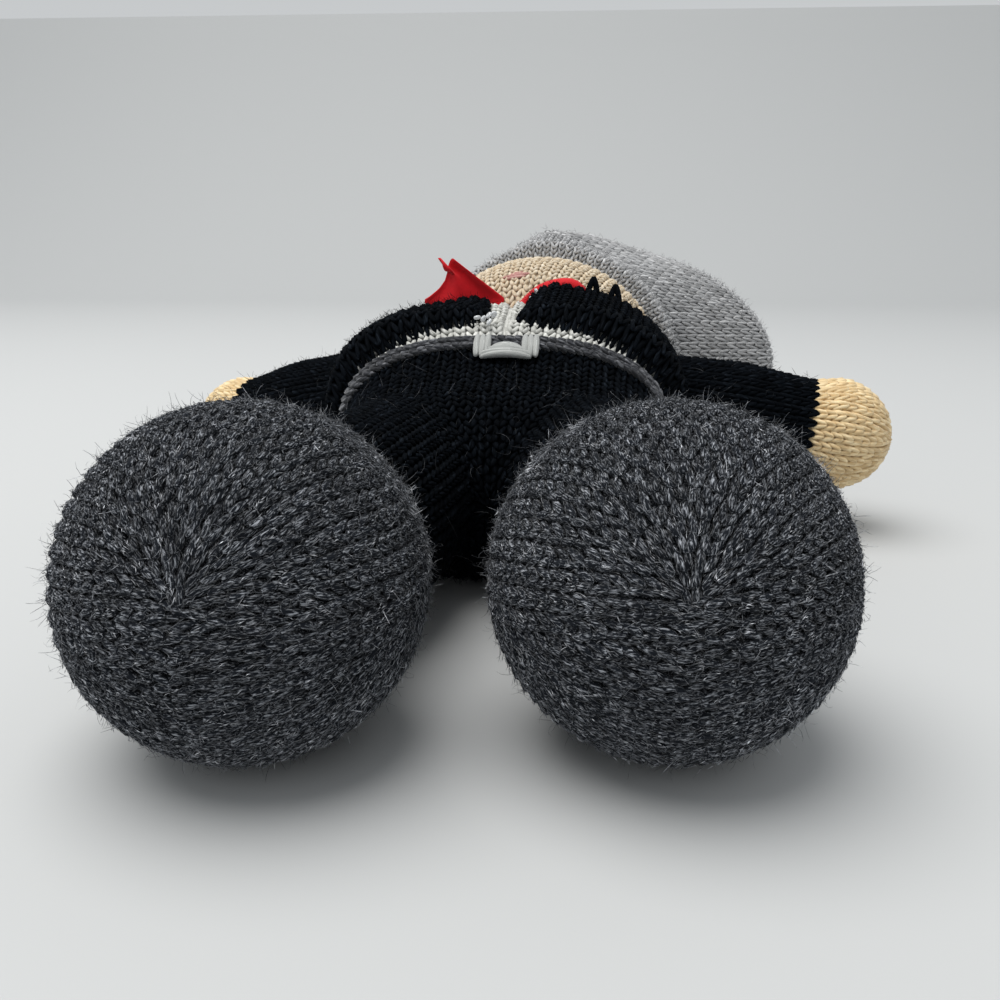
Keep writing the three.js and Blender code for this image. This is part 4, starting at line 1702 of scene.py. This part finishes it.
@dataclass
class Scarf:
    """The scarf: a rolled band round the neck, and the tied end that stands up beside it.

    Attributes:
        middle: The middle of the band.
        ring: The band's radius round the neck.
        lobe: How much farther out it lies on the left front's collar.
        lobe_turn: Where it does, in degrees from the doll's left towards its front.
        lobe_reach: How far that spreads, in degrees.
        lobe_ahead: How far towards the feet it lies there.
        roll: Radius of the rolled band.
        cloth: Thickness of the cloth.
        tail_cut: Width and length that the tied end was cut to; not used.
        tail_along: Where it stands along the doll.
        tail_left: Its edge on the doll's right, as shares of its length and places across the doll.
        tail_right: Its other edge, likewise.
        tail_rise: Its height, likewise.
    """

    RUFFLE = 0.0005
    RIPPLE = 0.0003
    NOTCH = 0.0045
    PLEAT = 0.0017
    LEAN = 0.006
    WOVEN = (0.032, 0.034)

    middle: Vector = field(default_factory=lambda: Vector((0.0, 0.036, 0.0434)))
    ring: float = 0.026
    lobe: float = 0.0287
    lobe_turn: float = 62.0
    lobe_reach: float = 29.0
    lobe_ahead: float = 0.017
    roll: float = 0.003
    cloth: float = 0.0006
    tail_cut: tuple[float, float] = (0.034, 0.036)
    tail_along: float = 0.0301
    tail_left: tuple[tuple[float, ...], tuple[float, ...]] = (
        (0.0, 0.45, 0.5, 0.6, 0.71, 0.83, 1.0),
        (-0.022, -0.0365, -0.0338, -0.030, -0.0275, -0.0264, -0.0302),
    )
    tail_right: tuple[tuple[float, ...], tuple[float, ...]] = (
        (0.0, 0.38, 0.48, 1.0),
        (-0.010, -0.0056, -0.0028, -0.0237),
    )
    tail_rise: tuple[tuple[float, ...], tuple[float, ...]] = ((0.0, 0.45, 1.0), (0.070, 0.086, 0.1028))

    def build(self) -> None:
        """Builds the band and the tied end."""
        self._band()
        self._tail()

    def _band(self) -> None:
        """Builds the band: a strip of cloth rolled to a C and laid round the neck."""
        made = bmesh.new()
        bmesh.ops.create_circle(made, segments=16, radius=self.roll)
        open_side = [vertex for vertex in made.verts if vertex.co.x < -0.75 * self.roll]
        bmesh.ops.delete(made, geom=open_side, context="VERTS")
        bmesh.ops.translate(made, verts=made.verts, vec=(1.0, 0.0, 0.0))
        spun(made, 120)
        weave = made.verts.layers.float_vector.new("yarn_place")
        for vertex in made.verts:
            turn = math.atan2(vertex.co.z, vertex.co.x)
            out, side = math.hypot(vertex.co.x, vertex.co.z) - 1.0, vertex.co.y
            vertex[weave] = Vector((turn * self.ring, math.atan2(side, out) * self.roll, 0.0))
            lobe = math.exp(-(((math.degrees(turn) - self.lobe_turn) / self.lobe_reach) ** 2))
            ruffle = self.RUFFLE * math.sin(11.0 * turn) + self.RIPPLE * math.sin(23.0 * turn + 1.0)
            reach = self.ring + self.lobe * lobe + out + ruffle
            vertex.co = self.middle + Vector((
                math.cos(turn) * reach,
                side * (1.0 + 0.2 * math.sin(7.0 * turn)) - self.lobe_ahead * lobe,
                math.sin(turn) * reach,
            ))
        self._sewn(made, "scarf_band")

    def _tail(self) -> None:
        """Builds the tied end: a pleated piece with two points and a small notch between them."""
        made = bmesh.new()
        bmesh.ops.create_grid(made, x_segments=28, y_segments=28, size=0.5)
        weave = made.verts.layers.float_vector.new("yarn_place")
        for vertex in made.verts:
            across, up = vertex.co.x + 0.5, vertex.co.y + 0.5
            left, right = np.interp(up, *self.tail_left), np.interp(up, *self.tail_right)
            notch = self.NOTCH * up**6 * math.exp(-(((across - 0.5) / 0.22) ** 2))
            pleat = self.PLEAT * (1.0 - 0.5 * up) * math.sin(FULL_TURN * (1.6 * across + 0.25 * up))
            lean = self.LEAN * max(0.0, 1.0 - up / 0.35)
            vertex[weave] = Vector((across * self.WOVEN[0], up * self.WOVEN[1], 0.0))
            vertex.co = Vector((
                left + across * (right - left),
                self.tail_along + pleat + lean,
                float(np.interp(up, *self.tail_rise)) - notch,
            ))
        self._sewn(made, "scarf_tail")

    def _sewn(self, made: bmesh.types.BMesh, node: str) -> None:
        """Gives a sheet its thickness and its cloth, and says how it is held.

        Args:
            made: The sheet, which is freed here.
            node: The solid that it stands for.
        """
        bmesh.ops.recalc_face_normals(made, faces=made.faces)
        area = sum(face.calc_area() for face in made.faces)
        bmesh.ops.solidify(made, geom=made.faces, thickness=self.cloth)
        shown = to_object(f"{node}_cloth", made)
        shown.data.materials.append(RED.material())
        placed(shown, "torso", [node])


@dataclass
class Beads:
    """The glass beads sewn to the two fronts.

    Attributes:
        ring: Radius from a bead's middle to the middle of its glass.
        glass: Radius of the glass.
        right: Places of the beads on the right front.
        left: Places of those on the left front.
    """

    ring: float = 0.0008
    glass: float = 0.00055
    right: tuple[tuple[float, float, float], ...] = (
        (-0.0098, -0.0192, 0.0841),
        (-0.0076, -0.0196, 0.0837),
        (-0.0058, -0.0180, 0.0848),
        (-0.0040, -0.0174, 0.0851),
        (-0.0054, -0.0211, 0.0828),
    )
    left: tuple[tuple[float, float, float], ...] = (
        (0.0083, 0.0088, 0.0888),
        (0.0092, 0.0098, 0.0891),
        (0.0102, 0.0106, 0.0912),
    )

    def build(self, chance: np.random.Generator) -> None:
        """Builds both strings of beads.

        Args:
            chance: The source of chance.
        """
        for node, places in (("right_lapel_beads", self.right), ("left_lapel_beads", self.left)):
            made = bmesh.new()
            for place in places:
                self._bead(made, Vector(place), Vector(chance.uniform(-1.0, 1.0, 3)))
            bmesh.ops.recalc_face_normals(made, faces=made.faces)
            shown = to_object(f"{node}_glass", made)
            shown.data.materials.append(self._material())
            placed(shown, "torso", [node])

    def _bead(self, made: bmesh.types.BMesh, place: Vector, axis: Vector) -> None:
        """Adds one bead: a ring of glass.

        Args:
            made: What it is added to.
            place: Its middle.
            axis: The direction of its hole.
        """
        bead = bmesh.new()
        bmesh.ops.create_circle(bead, segments=10, radius=self.glass)
        bmesh.ops.translate(bead, verts=bead.verts, vec=(self.ring, 0.0, 0.0))
        spun(bead, 18)
        turned = Vector((0.0, 1.0, 0.0)).rotation_difference(axis.normalized())
        bmesh.ops.rotate(bead, verts=bead.verts, cent=(0.0, 0.0, 0.0), matrix=turned.to_matrix())
        bmesh.ops.translate(bead, verts=bead.verts, vec=place)
        held = bpy.data.meshes.new("bead")
        bead.to_mesh(held)
        bead.free()
        made.from_mesh(held)
        bpy.data.meshes.remove(held)

    def _material(self) -> bpy.types.Material:
        """Builds the silvery glass, or returns the one that exists."""
        clear = {"Roughness": 0.05, "Transmission Weight": 0.35, "Coat Weight": 0.6}
        values = {"Base Color": (0.86, 0.88, 0.9, 1.0), **clear}
        return bpy.data.materials.get("bead_glass") or Shading("bead_glass", values).material


@dataclass
class Head(Piece):
    """The head with its mouth and eyes, and the hat.

    Attributes:
        neck: Where the head meets the body.
        flop: Angle of the head towards the doll's left, in degrees.
        radius: Half the head's height and length.
        half_width: Half its width.
        tuck: How much shorter its neck end is, so that it clears the collar as it flops.
        rise: Height of the head's middle.
        along: Distance from the neck to the head's middle.
        neck_height: Height of the neck's middle.
        neck_radius: The neck's radius.
        neck_foot: How far below the joint the neck starts.
        neck_length: Its length.
        neck_cap: How far its ends round off beyond that.
        neck_bend: Where along it it starts to follow the head, and where it does so fully.
        hat_wall: How far the hat stands off the head.
        brim_start: Where the brim starts, from the neck.
        brim_end: Where it ends.
        crown_full: Where the crown is widest, from the neck.
        crown_end: Where it ends.
        crown_half_width: Half its width there.
        crown_top: Its height there.
        crown_slump: How far it slumps to the side.
        crown_squareness: Its section's squareness.
        peak: The hat's narrow bump over the forehead.
        nap: How many fibres stand off the hat.
        hat_gauge: The size of the hat's stitches.
    """

    MOUTH_YARN = (0.0018, 0.0014)
    EYE_YARN = (0.0017, 0.0014)

    neck: Vector = field(default_factory=lambda: Vector((0.0, 0.041, 0.0)))
    flop: float = 11.0
    radius: float = 0.0505
    half_width: float = 0.055
    tuck: float = 0.0065
    rise: float = 0.050
    along: float = 0.052
    neck_height: float = 0.0434
    neck_radius: float = 0.0205
    neck_foot: float = 0.012
    neck_length: float = 0.022
    neck_cap: float = 0.004
    neck_bend: tuple[float, float] = (0.006, 0.018)
    hat_wall: float = 0.005
    brim_start: float = 0.070
    brim_end: float = 0.085
    crown_full: float = 0.105
    crown_end: float = 0.140
    crown_half_width: float = 0.062
    crown_top: float = 0.099
    crown_slump: float = 0.043
    crown_squareness: float = 1.7
    peak: Swell = Swell(92.0, 13.0, 0.087, 0.016, 0.007)
    nap: int = 3500
    hat_gauge: Gauge = Gauge(0.0036, 0.0024, 0.0022)

    def __post_init__(self) -> None:
        """Works out the head's axis, and its own left."""
        angle = math.radians(self.flop)
        self.axis = Vector((math.sin(angle), math.cos(angle), 0.0))
        self.left = self.axis.cross(Vector((0.0, 0.0, 1.0)))

    def build(self) -> None:
        """Builds the head, its face and the hat."""
        self._cover()
        self._neck()
        self._face()
        self._hat()

    def _cover(self) -> None:
        """Builds the stuffed head."""
        sliver = 0.001
        form = StuffedForm(
            [Section(at, self.half_width, -self.radius, self.radius) for at in (-sliver, sliver)],
            (self.tuck - self.radius, self.radius),
            self.middle(),
            self.axis,
        )
        laid = self.knitter.rounds(form, self.gauge, (0.03, 0.72))
        made = self.knitter.cover("head_knit", laid, self.gauge, FACE, form)
        placed(made, "head", ["head_cover", "head_stuffing"])

    def _neck(self) -> None:
        """Builds the short neck."""
        foot = Vector((self.neck.x, self.neck.y - self.neck_foot, self.neck_height))
        way = (self.axis + Vector((0.0, 1.0, 0.0))).normalized()
        form = StuffedForm(
            [Section.round(at, self.neck_radius) for at in (0.0, self.neck_length)],
            (-self.neck_cap, self.neck_length + self.neck_cap),
            foot,
            way,
        )
        laid = self.knitter.rounds(form, self.gauge, (0.2, 0.9))
        made = self.knitter.cover("neck_knit", laid, self.gauge, FACE, form)
        start, end = (foot + way * at for at in self.neck_bend)
        self.bending([made], FACE.slot, "head", start, end)

    def middle(self) -> Vector:
        """The middle of the head."""
        return self.neck + self.axis * self.along + Vector((0.0, 0.0, self.rise))

    def _seat(self, node: str, lift: float) -> tuple[Vector, Vector, Vector, Vector]:
        """Where a feature of the face is sewn.

        Args:
            node: The solid that it stands for.
            lift: How far it stands off the head.

        Returns:
            Its place, and the directions out of the face, across it and up it.
        """
        low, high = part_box(node)
        out = ((low + high) / 2.0 - self.middle()).normalized()
        aside, ahead = out.dot(self.left), out.dot(self.axis)
        length = self.radius - (self.tuck if ahead < 0.0 else 0.0)
        upward = (1.0 - aside**2 - ahead**2) / self.radius**2
        reach = 1.0 / math.sqrt((aside / self.half_width) ** 2 + (ahead / length) ** 2 + upward)
        across = self.axis.cross(out).normalized()
        return self.middle() + out * (reach + lift), out, across, out.cross(across).normalized()

    def _face(self) -> None:
        """Sews the mouth and the eyes."""
        sewer = Embroidery(self.knitter.chance)
        seat, out, across, up = self._seat("mouth_stitch", 0.0006)
        half, sag, skew = 0.0065, 0.0004, 0.0003
        strokes = [
            Stroke(
                seat - across * half * reach + up * (step - skew) - out * sag,
                seat + across * half * reach + up * (step + skew) - out * sag,
                *self.MOUTH_YARN,
                out,
                sag,
            )
            for step, reach in ((-0.0014, 0.7), (0.0002, 1.0), (0.0016, 0.6))
        ]
        mouth = sewer.sew("mouth_stitch_yarn", strokes, MOUTH)
        placed(mouth, "head", ["mouth_stitch"])
        half = 0.0028
        for node in ("left_eye", "right_eye"):
            seat, out, across, up = self._seat(node, 0.0)
            strokes = []
            for step in (-0.0022, -0.0008, 0.0008, 0.0022):
                low, high = seat + across * step - up * half, seat + across * step + up * half
                strokes.append(Stroke(low, high, *self.EYE_YARN, out))
            eye = sewer.sew(f"{node}_yarn", strokes, EYE)
            placed(eye, "head", [node])

    def _hat(self) -> None:
        """Builds the brim and the slumped crown."""
        wide, high = self.half_width + self.hat_wall, self.radius + self.hat_wall
        rim = [
            Section(at, wide, self.rise - high, self.rise + high)
            for at in (self.brim_start, self.brim_end - 0.004, self.brim_end)
        ]
        crown = [
            Section(at, self.crown_half_width, FLOOR, self.crown_top, self.crown_slump, self.crown_squareness)
            for at in (self.crown_full, self.crown_full + 0.006)
        ]
        lip = 0.006
        for name, sections, poles, span in (
            ("hat_brim", rim[::2], (self.brim_start - lip, self.brim_end + lip), (0.3, 0.6)),
            ("hat_crown", rim[1:2] + crown, (self.brim_start, self.crown_end), (0.33, 0.985)),
        ):
            form = StuffedForm(sections, poles, self.neck, self.axis, (self.peak,))
            laid = self.knitter.rounds(form, self.hat_gauge, span)
            made = self.knitter.cover(f"{name}_knit", laid, self.hat_gauge, HEATHER, form)
            placed(made, "head", [name])
            nap = HEATHER_NAP.grow(f"{name}_nap", laid, self.hat_gauge, self.nap, self.knitter.chance)
            placed(nap, "head", [])


class Studio:
    """The camera, the floor and the light."""

    CAMERA_PLACE = Vector((0.0235, -0.379, 0.118))
    PITCH = 15.7
    YAW = 4.0
    LENS = 36.0
    SENSOR = 36.0
    FLOOR_COLOUR = (0.535, 0.545, 0.548, 1.0)
    SKY_COLOUR = (0.95, 0.98, 1.0, 1.0)
    SKY_STRENGTH = 0.6
    LAMP_PLACE = Vector((-0.45, -0.2, 1.8))
    LAMP_AIM = Vector((0.0, -0.1, 0.05))
    LAMP_COLOUR = (1.0, 0.985, 0.96)
    LAMP_WATTS = 36.0
    LAMP_SIZE = 1.9

    def build(self) -> None:
        """Builds the stage round the doll."""
        self._camera()
        self._floor()
        self._light()

    def _camera(self) -> None:
        """Sets the camera at the photograph's viewing angle."""
        lens = bpy.data.cameras.new("camera")
        lens.lens = self.LENS
        lens.sensor_width = self.SENSOR
        lens.clip_start = 0.01
        camera = bpy.data.objects.new("camera", lens)
        bpy.context.scene.collection.objects.link(camera)
        camera.location = self.CAMERA_PLACE
        camera.rotation_euler = (math.radians(90.0 - self.PITCH), 0.0, math.radians(self.YAW))
        bpy.context.scene.camera = camera

    def _floor(self) -> None:
        """Lays a pale floor that curves up behind the doll."""
        made = bmesh.new()
        bmesh.ops.create_grid(made, x_segments=1, y_segments=1, size=3.0)
        back = [e for e in made.edges if all(v.co.y > 0.0 for v in e.verts)]
        bmesh.ops.translate(made, verts=back[0].verts, vec=(0.0, -1.9, 0.0))
        bmesh.ops.spin(
            made,
            geom=back,
            axis=(1.0, 0.0, 0.0),
            cent=(0.0, 1.1, 0.6),
            angle=math.radians(80.0),
            steps=16,
        )
        bmesh.ops.recalc_face_normals(made, faces=made.faces)
        floor = to_object("floor", made)
        pale = {"Base Color": self.FLOOR_COLOUR, "Roughness": 0.9}
        floor.data.materials.append(Shading("pale_floor", pale).material)

    def _light(self) -> None:
        """Sets a soft sky and one broad lamp."""
        world = bpy.data.worlds.new("soft_sky")
        world.use_nodes = True
        sky = world.node_tree.nodes["Background"]
        sky.inputs["Color"].default_value = self.SKY_COLOUR
        sky.inputs["Strength"].default_value = self.SKY_STRENGTH
        bpy.context.scene.world = world
        lamp = bpy.data.lights.new("key", "AREA")
        lamp.shape = "DISK"
        lamp.size = self.LAMP_SIZE
        lamp.energy = self.LAMP_WATTS
        lamp.color = self.LAMP_COLOUR
        key = bpy.data.objects.new("key", lamp)
        key.location = self.LAMP_PLACE
        aim = self.LAMP_AIM - self.LAMP_PLACE
        key.rotation_euler = aim.to_track_quat("-Z", "Y").to_euler()
        bpy.context.scene.collection.objects.link(key)
        bpy.context.scene.view_settings.view_transform = "Standard"


def on_side(place: tuple[float, float, float], sign: float) -> Vector:
    """A place on the doll's left, or its mirror image on the right where the sign is negative."""
    return Vector((sign * place[0], place[1], place[2]))


def main() -> None:
    """Builds the doll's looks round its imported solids."""
    logging.basicConfig(level=logging.INFO, format="%(name)s: %(message)s")
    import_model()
    knitter = Knitter()
    for side, sign, reach in (("left", 1.0, 0.100), ("right", -1.0, 0.107)):
        Shoe(knitter, side).build()
        Leg(knitter, side, sign, on_side(HIP, sign), reach).build()
    for side, sign, turn, droop in (("left", 1.0, -6.0, 7.0), ("right", -1.0, 28.0, 14.0)):
        Arm(knitter, side, sign, on_side(SHOULDER, sign), turn, droop).build()
    body = Body(knitter)
    body.build()
    Jacket(knitter, body).build()
    Scarf().build()
    Beads().build(knitter.chance)
    Head(knitter).build()
    Studio().build()


if __name__ == "__main__":
    main()
